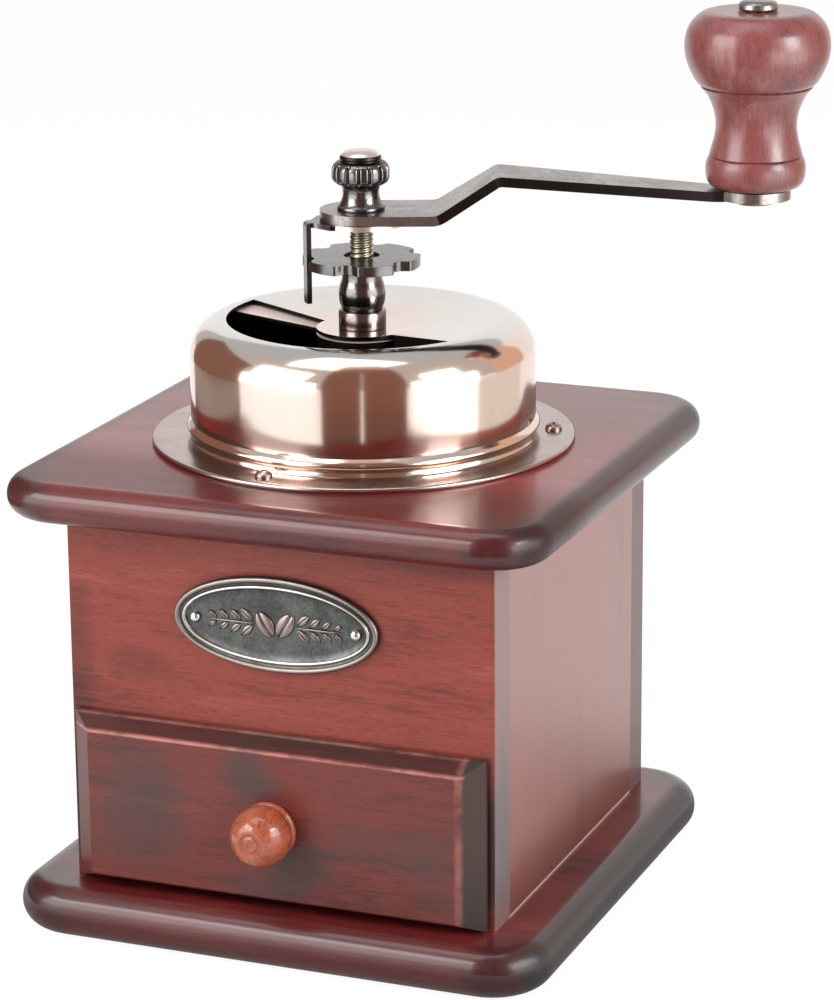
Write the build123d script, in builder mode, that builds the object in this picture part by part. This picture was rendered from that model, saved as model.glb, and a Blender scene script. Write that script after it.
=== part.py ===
from build123d import *
from math import atan2, cos, degrees, radians, sin, sqrt, tan
import os

# Wooden box mill with a conical burr, a sheet-metal hopper dome and a side crank.
# Millimetres, +Z up. The front of the mill, with the drawer, faces -Y.
# The origin is the centre of the base board's underside, on the mill's turning axis.

os.makedirs("parts", exist_ok=True)

# ---------------------------------------------------------------- cabinet sizes
board_side = 126.0  # both square boards, outside
board_corner = 14.0  # plan radius of their corners
base_thick = 11.5
top_thick = 9.0
edge_land = 0.2  # flat left between the two rounds of a board's edge
cabinet_side = 100.0  # outside width and depth of the four walls
cabinet_height = 84.5
panel_thick = 9.0

dowel_radius = 2.5
dowel_in_top = 5.5
dowel_in_panel = 10.0
dowel_pitch = 56.0  # from the front dowel to the back one
base_screw_pitch = 50.0  # from the front base screw to the back one
base_screw_length = 26.0
base_screw_recess = 1.0  # head below the base board's underside

# ----------------------------------------------------------------- drawer sizes
drawer_opening_height = 37.5
drawer_gap = 0.4  # sliding clearance round the drawer box
drawer_front_width = 97.0
drawer_front_bottom = 0.5  # above the base board
drawer_front_height = 39.0
drawer_front_thick = 5.3
drawer_front_rim = 1.0  # square edge behind the bevel
bevel_side = 4.8
bevel_top = 3.0
bevel_bottom = 2.3
drawer_wall = 4.0
drawer_floor = 3.0
drawer_floor_lift = 1.0  # floor above the lower edge of the drawer sides
drawer_height = 33.0
drawer_back_room = 3.0  # between the closed drawer and the back panel

knob_radius = 6.8
knob_stand = 5.2  # from the drawer's face to the ball's centre
knob_foot_radius = 5.85
knob_foot_height = 0.4
knob_collar_radius = 6.5
knob_collar_height = 1.6
knob_groove_width = 0.4
knob_flat_radius = 3.2  # flattened end of the ball
knob_dimple = 0.35
knob_screw_length = 14.0

# ------------------------------------------------------------------ plate sizes
plate_width = 48.0
plate_height = 21.5
plate_thick = 1.2
plate_rim = 1.1
plate_relief = 0.5  # rim and oval line above the plate's field
plate_line_inset = 2.6
plate_line_width = 0.6
plate_drop = 20.2  # plate's middle below the top board
plate_pin_pitch = 37.6
plate_pin_radius = 1.3
plate_pin_length = 6.0

# ----------------------------------------------------------------- hopper sizes
flange_radius = 47.5
flange_hole = 33.5
flange_thick = 1.2
flange_screw_circle = 42.7
flange_screw_count = 3
flange_screw_start = 22.0  # degrees from +X
flange_screw_length = 7.0

sheet = 0.8  # dome and shutter metal
dome_radius = 38.7
dome_height = 26.4  # flange to crest
dome_shoulder = 8.0
dome_dish = 2.3  # centre below the crest
land_radius = 10.3  # flat land round the hub
bead_bottom = 1.3
bead_height = 2.5
bead_swell = 0.9
fill_radius = 30.4  # outer edge of the filling opening
fill_start = 166.8  # degrees from +X
fill_arc = 163.6
stop_depth = 1.9  # edge of the opening folded down as the shutter's stop

shutter_radius = 31.4
shutter_gap = 0.5  # below the dome's sheet
shutter_start = 4.0
shutter_arc = 176.0
shutter_cup = 1.6  # collar below the shutter's ring

bush_radius = 5.3
bush_height = 4.2
spigot_radius = 4.2
spigot_length = 6.0  # below the dome's sheet
washer_radius = 7.5
washer_thick = 0.5
bush_nut_flats = 11.0
bush_nut_height = 3.2

# ------------------------------------------------------------------- burr sizes
rim_radius = 39.0
rim_thick = 2.0
rim_seat_gap = 0.2
funnel_radius = 35.0  # outside, just under the rim
funnel_wall = 3.0
barrel_radius = 23.5
barrel_top = 87.0
barrel_bottom = 62.5
throat_radius = 17.6
throat_top = 84.0
boss_radius = 6.0
boss_bottom = 88.0
boss_height = 8.0
spoke_width = 4.5
spoke_height = 4.6
spoke_count = 3
spoke_start = 30.0

ring_burr_radius = 20.0
ring_burr_bottom = 64.0
ring_burr_height = 16.0
ring_mouth_radius = 17.2
ring_waist_radius = 12.6
ring_skirt_radius = 14.6
waist_height = 8.0  # above the ring burr's lower face
ring_teeth = 14
cone_bottom = 63.5
cone_height = 16.5
cone_top_radius = 5.5
cone_waist_radius = 11.5
cone_skirt_radius = 13.6
cone_skirt_height = 1.5
cone_teeth = 9
tooth_width = 1.6

# ------------------------------------------------------------------ shaft sizes
shaft_radius = 3.2
shaft_flats = 5.2
thread_radius = 2.65
thread_flats = 4.2
shaft_below_nut = 1.5
running_gap = 0.06  # radial, shaft in its bearings
fit_gap = 0.05  # keyed and screwed fits
face_gap = 0.1  # between faces that turn on each other
spring_wire = 0.5
spring_radius = 4.4
spring_turns = 3.5
burr_washer_radius = 7.0
burr_washer_thick = 0.8
burr_nut_flats = 9.0
burr_nut_height = 3.5

# ------------------------------------------------------------------ crank sizes
neck_radius = 4.35
neck_bead_radius = 5.2
neck_bead_height = 6.4
neck_height = 9.8  # from the bush to the disc's underside
disc_radius = 13.1
disc_thick = 2.2
notch_count = 6
notch_start = 36.7
notch_gap = 0.15  # beside the clip's tab
clip_above_disc = 7.25
clip_thick = 1.0
clip_eye_radius = 9.7
clip_reach = 12.9
clip_width = 3.2
clip_tab_thick = 1.2
clip_tab_length = 18.3
clip_neck = 1.5  # straight stretch of the clip's arm beside its bend
clip_bend_radius = 0.8
clip_notch = 3  # which notch of the disc the tab stands in

arm_thick = 2.2
arm_eye_radius = 9.2
arm_bend_start = 16.7
arm_bend_end = 30.1
arm_rise = 8.4  # from the eye up to the second bend
arm_fall = 4.3  # from the second bend down to the grip's end
arm_waist_width = 15.0  # at the second bend
arm_width = 9.4  # at the grip's end
arm_end_radius = 7.9
arm_level = 1.5  # level stretch inside the end's round
crank_reach = 87.0
crank_angle = 21.3  # where the crank points at rest, degrees from +X
thumb_height = 13.4
thumb_radius = 6.4
thumb_grip_bottom = 5.6
thumb_grip_height = 5.2
thumb_foot_radius = 5.3
thumb_waist_radius = 4.05
thumb_ring_radius = 4.7
thumb_cap_radius = 2.7
knurl_count = 26
knurl_radius = 0.42

grip_lift = 0.3
grip_height = 39.0
grip_radius = 16.0
grip_waist_radius = 8.9
grip_foot_radius = 11.05
grip_base_radius = 8.0
grip_groove = 0.4
grip_foot_height = 6.7
grip_foot_bulge = 4.0  # height of the foot's widest place
grip_waist_height = 13.6
grip_shoulder_height = 22.2
grip_shoulder_radius = 12.3
grip_widest_height = 31.0
grip_top_radius = 10.6
grip_groove_width = 0.6
pin_radius = 2.5
pin_gap = 0.08
pin_head_radius = 4.4
pin_head_height = 2.0
rivet_radius = 5.3
rivet_height = 1.2

# ------------------------------------------------------------- derived heights
half_board = board_side / 2
half_cabinet = cabinet_side / 2
cabinet_top = base_thick + cabinet_height
top_face = cabinet_top + top_thick
flange_top = top_face + flange_thick
crest = flange_top + dome_height
land_top = crest - dome_dish
flat_radius = dome_radius - dome_shoulder
ring_top = land_top - sheet - shutter_gap
bush_top = land_top + bush_height
neck_bottom = bush_top + face_gap
disc_bottom = neck_bottom + neck_height
disc_top = disc_bottom + disc_thick
clip_bottom = disc_top + clip_above_disc
arm_bottom = clip_bottom + clip_thick
arm_top = arm_bottom + arm_thick
bend_top = arm_top + arm_rise
outer_arm_top = bend_top - arm_fall
outer_arm_bottom = outer_arm_top - arm_thick
thumb_top = arm_top + thumb_height
grip_bottom = outer_arm_top + grip_lift
grip_top = grip_bottom + grip_height
ring_burr_top = ring_burr_bottom + ring_burr_height
cone_top = cone_bottom + cone_height
boss_top = boss_bottom + boss_height
burr_nut_top = cone_bottom - burr_washer_thick
shaft_bottom = burr_nut_top - burr_nut_height - shaft_below_nut
panel_centre = half_cabinet - panel_thick / 2
inside_half = half_cabinet - panel_thick
drawer_bottom_z = base_thick + drawer_gap
drawer_half_width = inside_half - drawer_gap
drawer_back_y = inside_half - drawer_back_room
front_back_y = -half_cabinet - drawer_gap
drawer_face_y = front_back_y - drawer_front_thick
drawer_front_low = base_thick + drawer_front_bottom
drawer_front_mid = drawer_front_low + drawer_front_height / 2
face_mid = drawer_front_mid + (bevel_bottom - bevel_top) / 2
knob_centre_y = drawer_face_y - knob_stand
plate_z = cabinet_top - plate_drop


def dish_height(radius):
    """Height of the dome's dished top at a radius between the land and the crest."""
    share = (radius - land_radius) / (flat_radius - land_radius)
    return land_top + dome_dish * share


def radial_plane(angle):
    """Upright plane through the mill's axis: local x outwards at an angle, local y up."""
    a = radians(angle)
    return Plane((0, 0, 0), x_dir=(cos(a), sin(a), 0), z_dir=(sin(a), -cos(a), 0))


def turned_plane(height, angle):
    """Level plane at a height whose local x points outwards at an angle."""
    a = radians(angle)
    return Plane((0, 0, height), x_dir=(cos(a), sin(a), 0), z_dir=(0, 0, 1))


def pan_screw(head, rise, shank, length):
    """One pan-head cross-recess screw, seat at the origin, shank down -Z."""
    with BuildPart() as screw:
        with BuildSketch(Plane.XZ):
            with BuildLine():
                Polyline(
                    (0, rise),
                    (0, -length),
                    (shank, shank * 2 - length),
                    (shank, 0),
                    (head, 0),
                    (head, rise * 0.4),
                )
                ThreePointArc((head, rise * 0.4), (head * 0.72, rise * 0.86), (0, rise))
            make_face()
        revolve(axis=Axis.Z)
        with Locations((0, 0, rise)):
            Box(head * 1.1, head * 0.24, rise, mode=Mode.SUBTRACT)
            Box(head * 0.24, head * 1.1, rise, mode=Mode.SUBTRACT)
    return screw.part


def flat_screw(head, shank, length):
    """One countersunk screw, top of the head at the origin, shank down -Z."""
    with BuildPart() as screw:
        with BuildSketch(Plane.XZ):
            with BuildLine():
                Polyline(
                    (0, 0),
                    (0, -length),
                    (shank, shank * 2 - length),
                    (shank, shank - head),
                    (head, 0),
                    close=True,
                )
            make_face()
        revolve(axis=Axis.Z)
        Box(head * 1.1, head * 0.22, head * 0.5, mode=Mode.SUBTRACT)
        Box(head * 0.22, head * 1.1, head * 0.5, mode=Mode.SUBTRACT)
    return screw.part


def double_d(radius, flats):
    """Add a round outline cut by two flats to the sketch being made."""
    Circle(radius)
    Rectangle(radius * 2, flats, mode=Mode.INTERSECT)


# =================================================================== cabinet
base_screw_head = 3.4
base_screw_shank = 1.7
side_centres = (-panel_centre, panel_centre)
base_screw_spots = [(x, y) for x in side_centres for y in (-base_screw_pitch / 2, base_screw_pitch / 2)]
dowel_spots = [(x, y) for x in side_centres for y in (-dowel_pitch / 2, dowel_pitch / 2)]
flange_screw_head = 1.9
flange_screw_rise = 1.3
flange_screw_shank = 1.2

with BuildPart() as base_board:
    with BuildSketch():
        RectangleRounded(board_side, board_side, board_corner)
    extrude(amount=base_thick)
    outline = base_board.edges().group_by(Axis.Z)
    fillet(outline[0] + outline[-1], (base_thick - edge_land) / 2)
    with BuildSketch():
        with Locations(*base_screw_spots):
            Circle(base_screw_head + fit_gap)
    extrude(amount=base_screw_recess, mode=Mode.SUBTRACT)
    with Locations(*[Location((x, y, base_screw_recess), (180, 0, 0)) for x, y in base_screw_spots]):
        CounterSinkHole(
            base_screw_shank + fit_gap, base_screw_head + fit_gap, depth=base_thick, counter_sink_angle=90
        )

with BuildPart() as top_board:
    with BuildSketch(Plane.XY.offset(cabinet_top)):
        RectangleRounded(board_side, board_side, board_corner)
    extrude(amount=top_thick)
    outline = top_board.edges().group_by(Axis.Z)
    fillet(outline[0] + outline[-1], (top_thick - edge_land) / 2)
    with BuildSketch(Plane.XY.offset(cabinet_top)):
        Circle(funnel_radius + rim_seat_gap)
    extrude(amount=top_thick, mode=Mode.SUBTRACT)
    with BuildSketch(Plane.XY.offset(top_face)):
        Circle(rim_radius + rim_seat_gap)
    extrude(amount=-rim_thick, mode=Mode.SUBTRACT)
    with BuildSketch(Plane.XY.offset(top_face)):
        with PolarLocations(flange_screw_circle, flange_screw_count, flange_screw_start):
            Circle(flange_screw_shank + fit_gap)
    extrude(amount=-flange_screw_length, mode=Mode.SUBTRACT)
    with BuildSketch(Plane.XY.offset(cabinet_top)):
        with Locations(*dowel_spots):
            Circle(dowel_radius)
    extrude(amount=dowel_in_top, mode=Mode.SUBTRACT)

side_panels = {}
for side_name, side in (("left_panel", -1), ("right_panel", 1)):
    with BuildPart() as side_panel:
        with BuildSketch(Plane.XY.offset(base_thick)):
            with Locations((side * panel_centre, 0)):
                Rectangle(panel_thick, 2 * inside_half)
        extrude(amount=cabinet_height)
        with BuildSketch(Plane.XY.offset(base_thick)):
            with Locations(*[spot for spot in base_screw_spots if spot[0] * side > 0]):
                Circle(base_screw_shank + fit_gap)
        extrude(amount=base_screw_length, mode=Mode.SUBTRACT)
        with BuildSketch(Plane.XY.offset(cabinet_top)):
            with Locations(*[spot for spot in dowel_spots if spot[0] * side > 0]):
                Circle(dowel_radius)
        extrude(amount=-dowel_in_panel, mode=Mode.SUBTRACT)
    side_panels[side_name] = side_panel

with BuildPart() as back_panel:
    with BuildSketch(Plane.XY.offset(base_thick)):
        with Locations((0, panel_centre)):
            Rectangle(cabinet_side, panel_thick)
    extrude(amount=cabinet_height)
    fillet(back_panel.edges().filter_by(Axis.Z).group_by(Axis.Y)[-1], 0.6)

# The front wall is one board with a notch from below for the drawer.
with BuildPart() as front_panel:
    with BuildSketch(Plane.XY.offset(base_thick)):
        with Locations((0, -panel_centre)):
            Rectangle(cabinet_side, panel_thick)
    extrude(amount=cabinet_height)
    fillet(front_panel.edges().filter_by(Axis.Z).group_by(Axis.Y)[0], 0.6)
    with BuildSketch(Plane.XZ.offset(half_cabinet)):
        with Locations((0, base_thick + drawer_opening_height / 2)):
            Rectangle(2 * inside_half, drawer_opening_height)
    extrude(amount=-panel_thick, mode=Mode.SUBTRACT)
    with BuildSketch(Plane.XZ.offset(half_cabinet)):
        with Locations((-plate_pin_pitch / 2, plate_z), (plate_pin_pitch / 2, plate_z)):
            Circle(plate_pin_radius / 2 + fit_gap)
    extrude(amount=-plate_pin_length, mode=Mode.SUBTRACT)

with BuildPart() as dowels:
    with BuildSketch(Plane.XY.offset(cabinet_top - dowel_in_panel)):
        with Locations(*dowel_spots):
            Circle(dowel_radius - fit_gap)
    extrude(amount=dowel_in_panel + dowel_in_top)
    chamfer(dowels.edges().group_by(Axis.Z)[0] + dowels.edges().group_by(Axis.Z)[-1], 0.5)

base_screw = flat_screw(base_screw_head, base_screw_shank, base_screw_length)
with BuildPart() as base_screws:
    with Locations(*[Location((x, y, base_screw_recess), (180, 0, 0)) for x, y in base_screw_spots]):
        add(base_screw)

# ==================================================================== drawer
knob_screw_head = 3.2
knob_screw_rise = 1.8
knob_screw_shank = 1.6

with BuildPart() as drawer_front:
    with BuildSketch(Plane.XZ.offset(-front_back_y)):
        with Locations((0, drawer_front_mid)):
            Rectangle(drawer_front_width, drawer_front_height)
    extrude(amount=drawer_front_rim)
    with BuildSketch(Plane.XZ.offset(drawer_front_rim - front_back_y)):
        with Locations((0, drawer_front_mid)):
            Rectangle(drawer_front_width, drawer_front_height)
    with BuildSketch(Plane.XZ.offset(-drawer_face_y)):
        with Locations((0, face_mid)):
            Rectangle(drawer_front_width - 2 * bevel_side, drawer_front_height - bevel_top - bevel_bottom)
    loft()
    fillet(drawer_front.faces().sort_by(Axis.Y)[0].edges(), 0.5)
    with BuildSketch(Plane.XZ.offset(-drawer_face_y)):
        with Locations((0, face_mid)):
            Circle(knob_screw_shank + fit_gap)
    extrude(amount=-drawer_front_thick, mode=Mode.SUBTRACT)

drawer_sides = {}
drawer_side_x = drawer_half_width - drawer_wall / 2
for side_name, side in (("drawer_left_side", -1), ("drawer_right_side", 1)):
    with BuildPart() as drawer_side:
        with BuildSketch(Plane.XY.offset(drawer_bottom_z)):
            with Locations((side * drawer_side_x, (front_back_y + drawer_back_y) / 2)):
                Rectangle(drawer_wall, drawer_back_y - front_back_y)
        extrude(amount=drawer_height)
    drawer_sides[side_name] = drawer_side

drawer_inner_half = drawer_half_width - drawer_wall
with BuildPart() as drawer_back:
    with BuildSketch(Plane.XY.offset(drawer_bottom_z)):
        with Locations((0, drawer_back_y - drawer_wall / 2)):
            Rectangle(2 * drawer_inner_half, drawer_wall)
    extrude(amount=drawer_height)

with BuildPart() as drawer_bottom:
    with BuildSketch(Plane.XY.offset(drawer_bottom_z + drawer_floor_lift)):
        with Locations((0, (front_back_y + drawer_back_y - drawer_wall) / 2)):
            Rectangle(2 * drawer_inner_half, drawer_back_y - drawer_wall - front_back_y)
    extrude(amount=drawer_floor)

# The knob is turned: a foot, a thin collar, a narrow groove and a ball with a flattened end.
knob_plane = Plane((0, drawer_face_y, face_mid), x_dir=(1, 0, 0), z_dir=(0, -1, 0))
knob_profile = Plane((0, drawer_face_y, face_mid), x_dir=(1, 0, 0), z_dir=(0, 0, -1))
collar_top = knob_foot_height + knob_collar_height
ball_start = collar_top + knob_groove_width
ball_start_radius = sqrt(knob_radius**2 - (knob_stand - ball_start) ** 2)
knob_face = knob_stand + sqrt(knob_radius**2 - knob_flat_radius**2)
with BuildPart() as drawer_knob:
    with BuildSketch(knob_profile):
        with BuildLine():
            Polyline(
                (0, knob_face - knob_dimple),
                (0, 0),
                (knob_foot_radius, 0),
                (knob_foot_radius, knob_foot_height),
            )
            ThreePointArc(
                (knob_foot_radius, knob_foot_height),
                (knob_collar_radius, (knob_foot_height + collar_top) / 2),
                (knob_foot_radius, collar_top),
            )
            Line((knob_foot_radius, collar_top), (ball_start_radius, ball_start))
            ThreePointArc(
                (ball_start_radius, ball_start), (knob_radius, knob_stand), (knob_flat_radius, knob_face)
            )
            Line((knob_flat_radius, knob_face), (0, knob_face - knob_dimple))
        make_face()
    revolve(axis=Axis((0, drawer_face_y, face_mid), (0, -1, 0)))
    with BuildSketch(knob_plane):
        Circle(knob_screw_shank)
    extrude(amount=knob_screw_length - drawer_front_thick, mode=Mode.SUBTRACT)

knob_screw_part = pan_screw(
    knob_screw_head, knob_screw_rise, knob_screw_shank - fit_gap, knob_screw_length - 1.0
)
with BuildPart() as knob_screw:
    with Locations(Location((0, front_back_y, face_mid), (-90, 0, 0))):
        add(knob_screw_part)

# ================================================================= nameplate
with BuildPart() as nameplate:
    with BuildSketch(Plane.XZ.offset(half_cabinet)):
        with Locations((0, plate_z)):
            Ellipse(plate_width / 2, plate_height / 2)
    extrude(amount=plate_thick)
    with BuildSketch(Plane.XZ.offset(half_cabinet + plate_thick)):
        with Locations((0, plate_z)):
            Ellipse(plate_width / 2, plate_height / 2)
            Ellipse(plate_width / 2 - plate_rim, plate_height / 2 - plate_rim, mode=Mode.SUBTRACT)
    extrude(amount=plate_relief)
    with BuildSketch(Plane.XZ.offset(half_cabinet + plate_thick)):
        with Locations((0, plate_z)):
            Ellipse(plate_width / 2 - plate_line_inset, plate_height / 2 - plate_line_inset)
            Ellipse(
                plate_width / 2 - plate_line_inset - plate_line_width,
                plate_height / 2 - plate_line_inset - plate_line_width,
                mode=Mode.SUBTRACT,
            )
    extrude(amount=plate_relief)
    with BuildSketch(Plane.XZ.offset(half_cabinet + plate_thick + plate_relief)):
        with Locations((-plate_pin_pitch / 2, plate_z), (plate_pin_pitch / 2, plate_z)):
            Circle(plate_pin_radius / 2 + fit_gap)
    extrude(amount=-plate_thick - plate_relief, mode=Mode.SUBTRACT)

with BuildPart() as nameplate_pins:
    with BuildSketch(Plane.XZ.offset(half_cabinet - plate_pin_length + 0.5)):
        with Locations((-plate_pin_pitch / 2, plate_z), (plate_pin_pitch / 2, plate_z)):
            Circle(plate_pin_radius / 2)
    extrude(amount=plate_pin_length - 0.5 + plate_thick + plate_relief)
    with BuildSketch(Plane.XZ.offset(half_cabinet + plate_thick + plate_relief)):
        with Locations((-plate_pin_pitch / 2, plate_z), (plate_pin_pitch / 2, plate_z)):
            Circle(plate_pin_radius)
    extrude(amount=0.9)
    fillet(nameplate_pins.faces().group_by(Axis.Y)[0].edges(), 0.7)

# ==================================================================== hopper
with BuildPart() as flange_ring:
    with BuildSketch(Plane.XY.offset(top_face)):
        Circle(flange_radius)
        Circle(flange_hole, mode=Mode.SUBTRACT)
        with PolarLocations(flange_screw_circle, flange_screw_count, flange_screw_start):
            Circle(flange_screw_shank + fit_gap, mode=Mode.SUBTRACT)
    extrude(amount=flange_thick)
    fillet(flange_ring.edges().group_by(Axis.Z)[-1].sort_by(SortBy.LENGTH)[-1], 0.6)

flange_screw = pan_screw(flange_screw_head, flange_screw_rise, flange_screw_shank, flange_screw_length)
with BuildPart() as flange_screws:
    with Locations((0, 0, flange_top)):
        with PolarLocations(flange_screw_circle, flange_screw_count, flange_screw_start):
            add(flange_screw)

wall_inner = dome_radius - sheet
shoulder_z = crest - dome_shoulder
inner_shoulder = dome_shoulder - sheet
arc_45 = sqrt(0.5)
with BuildPart() as hopper_dome:
    with BuildSketch(Plane.XZ):
        with BuildLine():
            Line((wall_inner, flange_top), (dome_radius, flange_top))
            Line((dome_radius, flange_top), (dome_radius, flange_top + bead_bottom))
            ThreePointArc(
                (dome_radius, flange_top + bead_bottom),
                (dome_radius + bead_swell, flange_top + bead_bottom + bead_height / 2),
                (dome_radius, flange_top + bead_bottom + bead_height),
            )
            Line((dome_radius, flange_top + bead_bottom + bead_height), (dome_radius, shoulder_z))
            ThreePointArc(
                (dome_radius, shoulder_z),
                (flat_radius + dome_shoulder * arc_45, shoulder_z + dome_shoulder * arc_45),
                (flat_radius, crest),
            )
            Polyline(
                (flat_radius, crest),
                (land_radius, land_top),
                (spigot_radius + fit_gap, land_top),
                (spigot_radius + fit_gap, land_top - sheet),
                (land_radius, land_top - sheet),
                (flat_radius, crest - sheet),
            )
            ThreePointArc(
                (flat_radius, crest - sheet),
                (flat_radius + inner_shoulder * arc_45, shoulder_z + inner_shoulder * arc_45),
                (wall_inner, shoulder_z),
            )
            Line((wall_inner, shoulder_z), (wall_inner, flange_top))
        make_face()
    revolve(axis=Axis.Z)
    # the fan-shaped filling opening
    with BuildSketch(turned_plane(crest + sheet, fill_start)):
        with BuildLine():
            CenterArc((0, 0), fill_radius, 0, fill_arc)
            CenterArc((0, 0), land_radius, 0, fill_arc)
            Line((land_radius, 0), (fill_radius, 0))
            Line(
                (land_radius * cos(radians(fill_arc)), land_radius * sin(radians(fill_arc))),
                (fill_radius * cos(radians(fill_arc)), fill_radius * sin(radians(fill_arc))),
            )
        make_face()
    extrude(amount=-dome_dish - 3 * sheet, mode=Mode.SUBTRACT)
    # its right-hand edge is folded down and stops the shutter
    stop_in = land_radius + 1.0
    stop_out = fill_radius - 0.6
    with BuildSketch(radial_plane(fill_start + fill_arc)):
        Polygon(
            (stop_in, dish_height(stop_in) - sheet / 2),
            (stop_out, dish_height(stop_out) - sheet / 2),
            (stop_out, dish_height(stop_out) - sheet - stop_depth),
            (stop_in, dish_height(stop_in) - sheet - stop_depth),
            align=None,
        )
    extrude(amount=-sheet)

# The shutter: a ring with a short cup round the hub, and a fan that closes the opening.
shutter_bore = spigot_radius + running_gap
with BuildPart() as shutter:
    with BuildSketch(Plane.XZ):
        with BuildLine():
            Polyline(
                (shutter_bore, ring_top),
                (land_radius, ring_top),
                (land_radius, ring_top - sheet - shutter_cup),
                (land_radius - sheet, ring_top - sheet - shutter_cup),
                (land_radius - sheet, ring_top - sheet),
                (shutter_bore, ring_top - sheet),
                close=True,
            )
        make_face()
    revolve(axis=Axis.Z)
    fan_drop = sheet + shutter_gap
    with BuildSketch(radial_plane(shutter_start)):
        Polygon(
            (land_radius - sheet / 2, ring_top),
            (land_radius, ring_top),
            (shutter_radius, dish_height(shutter_radius) - fan_drop),
            (shutter_radius, dish_height(shutter_radius) - fan_drop - sheet),
            (land_radius, ring_top - sheet),
            (land_radius - sheet / 2, ring_top - sheet),
            align=None,
        )
    revolve(axis=Axis.Z, revolution_arc=shutter_arc)

with BuildPart() as hub_bush:
    with BuildSketch(Plane.XY.offset(land_top)):
        Circle(bush_radius)
    extrude(amount=bush_height)
    chamfer(hub_bush.edges().group_by(Axis.Z)[-1], 0.35)
    with BuildSketch(Plane.XY.offset(land_top)):
        Circle(spigot_radius)
    extrude(amount=-sheet - spigot_length)
    with BuildSketch(Plane.XY.offset(bush_top)):
        Circle(shaft_radius + running_gap)
    extrude(amount=-bush_height - sheet - spigot_length, mode=Mode.SUBTRACT)

washer_top = ring_top - sheet - face_gap
with BuildPart() as shutter_washer:
    with BuildSketch(Plane.XY.offset(washer_top - washer_thick)):
        Circle(washer_radius)
        Circle(spigot_radius + fit_gap, mode=Mode.SUBTRACT)
    extrude(amount=washer_thick)

with BuildPart() as bush_nut:
    with BuildSketch(Plane.XY.offset(washer_top - washer_thick - bush_nut_height)):
        RegularPolygon(bush_nut_flats / 2, 6, major_radius=False)
        Circle(spigot_radius + fit_gap, mode=Mode.SUBTRACT)
    extrude(amount=bush_nut_height)

# ================================================================ burr group
funnel_low = throat_radius + funnel_wall
seat_radius = ring_burr_radius + fit_gap
with BuildPart() as burr_housing:
    with BuildSketch(Plane.XZ):
        with BuildLine():
            Polyline(
                (funnel_radius - funnel_wall + 1.0, top_face),
                (rim_radius, top_face),
                (rim_radius, top_face - rim_thick),
                (funnel_radius, top_face - rim_thick),
                (barrel_radius, barrel_top),
                (barrel_radius, barrel_bottom),
                (seat_radius, barrel_bottom),
                (seat_radius, ring_burr_top + face_gap),
                (throat_radius, ring_burr_top + face_gap),
                (throat_radius, throat_top),
                close=True,
            )
        make_face()
    revolve(axis=Axis.Z)
    with BuildSketch(Plane.XY.offset(boss_bottom)):
        Circle(boss_radius)
    extrude(amount=boss_height)
    with BuildSketch(Plane.XY.offset(boss_bottom)):
        with PolarLocations(boss_radius - 1.0, spoke_count, spoke_start):
            Rectangle(barrel_radius - boss_radius, spoke_width, align=(Align.MIN, Align.CENTER))
    extrude(amount=spoke_height)
    with BuildSketch(Plane.XY.offset(boss_bottom)):
        Circle(shaft_radius + running_gap)
    extrude(amount=boss_height, mode=Mode.SUBTRACT)

waist_z = ring_burr_bottom + waist_height
with BuildPart() as ring_burr:
    with BuildSketch(Plane.XZ):
        with BuildLine():
            Polyline(
                (ring_burr_radius, ring_burr_bottom),
                (ring_burr_radius, ring_burr_top),
                (ring_mouth_radius, ring_burr_top),
                (ring_waist_radius, waist_z),
                (ring_skirt_radius, ring_burr_bottom),
                close=True,
            )
        make_face()
    revolve(axis=Axis.Z)
    with BuildSketch(Plane.XY.offset(ring_burr_bottom)):
        with PolarLocations((ring_waist_radius + ring_mouth_radius) / 2, ring_teeth):
            Rectangle(ring_mouth_radius - ring_waist_radius, tooth_width, rotation=20)
    extrude(amount=ring_burr_height, mode=Mode.SUBTRACT)

with BuildPart() as cone_burr:
    with BuildSketch(Plane.XZ):
        with BuildLine():
            Polyline(
                (0, cone_bottom),
                (cone_skirt_radius, cone_bottom),
                (cone_skirt_radius, cone_bottom + cone_skirt_height),
                (cone_waist_radius, waist_z),
                (cone_top_radius, cone_top),
                (0, cone_top),
                close=True,
            )
        make_face()
    revolve(axis=Axis.Z)
    with BuildSketch(Plane.XY.offset(cone_bottom + cone_skirt_height)):
        with PolarLocations(cone_skirt_radius, cone_teeth):
            Rectangle(2 * (cone_skirt_radius - cone_top_radius) - tooth_width, tooth_width, rotation=-25)
    extrude(amount=cone_height, mode=Mode.SUBTRACT)
    with BuildSketch(Plane.XY.offset(cone_bottom)):
        with PolarLocations(cone_skirt_radius, 3 * cone_teeth):
            Rectangle(tooth_width, tooth_width / 2, rotation=-25)
    extrude(amount=cone_skirt_height, mode=Mode.SUBTRACT)
    with BuildSketch(Plane.XY.offset(cone_bottom)):
        double_d(shaft_radius + fit_gap, shaft_flats + 2 * fit_gap)
    extrude(amount=cone_height, mode=Mode.SUBTRACT)

with BuildPart() as burr_washer:
    with BuildSketch(Plane.XY.offset(burr_nut_top)):
        Circle(burr_washer_radius)
        Circle(thread_radius + fit_gap, mode=Mode.SUBTRACT)
    extrude(amount=burr_washer_thick)

with BuildPart() as burr_nut:
    with BuildSketch(Plane.XY.offset(burr_nut_top - burr_nut_height)):
        RegularPolygon(burr_nut_flats / 2, 6, major_radius=False)
        Circle(thread_radius + fit_gap, mode=Mode.SUBTRACT)
    extrude(amount=burr_nut_height)

spring_room = boss_bottom - cone_top - 2 * (spring_wire + face_gap)
spring_low = cone_top + spring_wire + face_gap
with BuildPart() as burr_spring:
    with BuildLine(Plane.XY.offset(spring_low)):
        coil = Helix(pitch=spring_room / spring_turns, height=spring_room, radius=spring_radius)
    with BuildSketch(Plane(origin=coil @ 0, z_dir=coil % 0)):
        Circle(spring_wire)
    sweep(path=coil, is_frenet=True)

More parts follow.
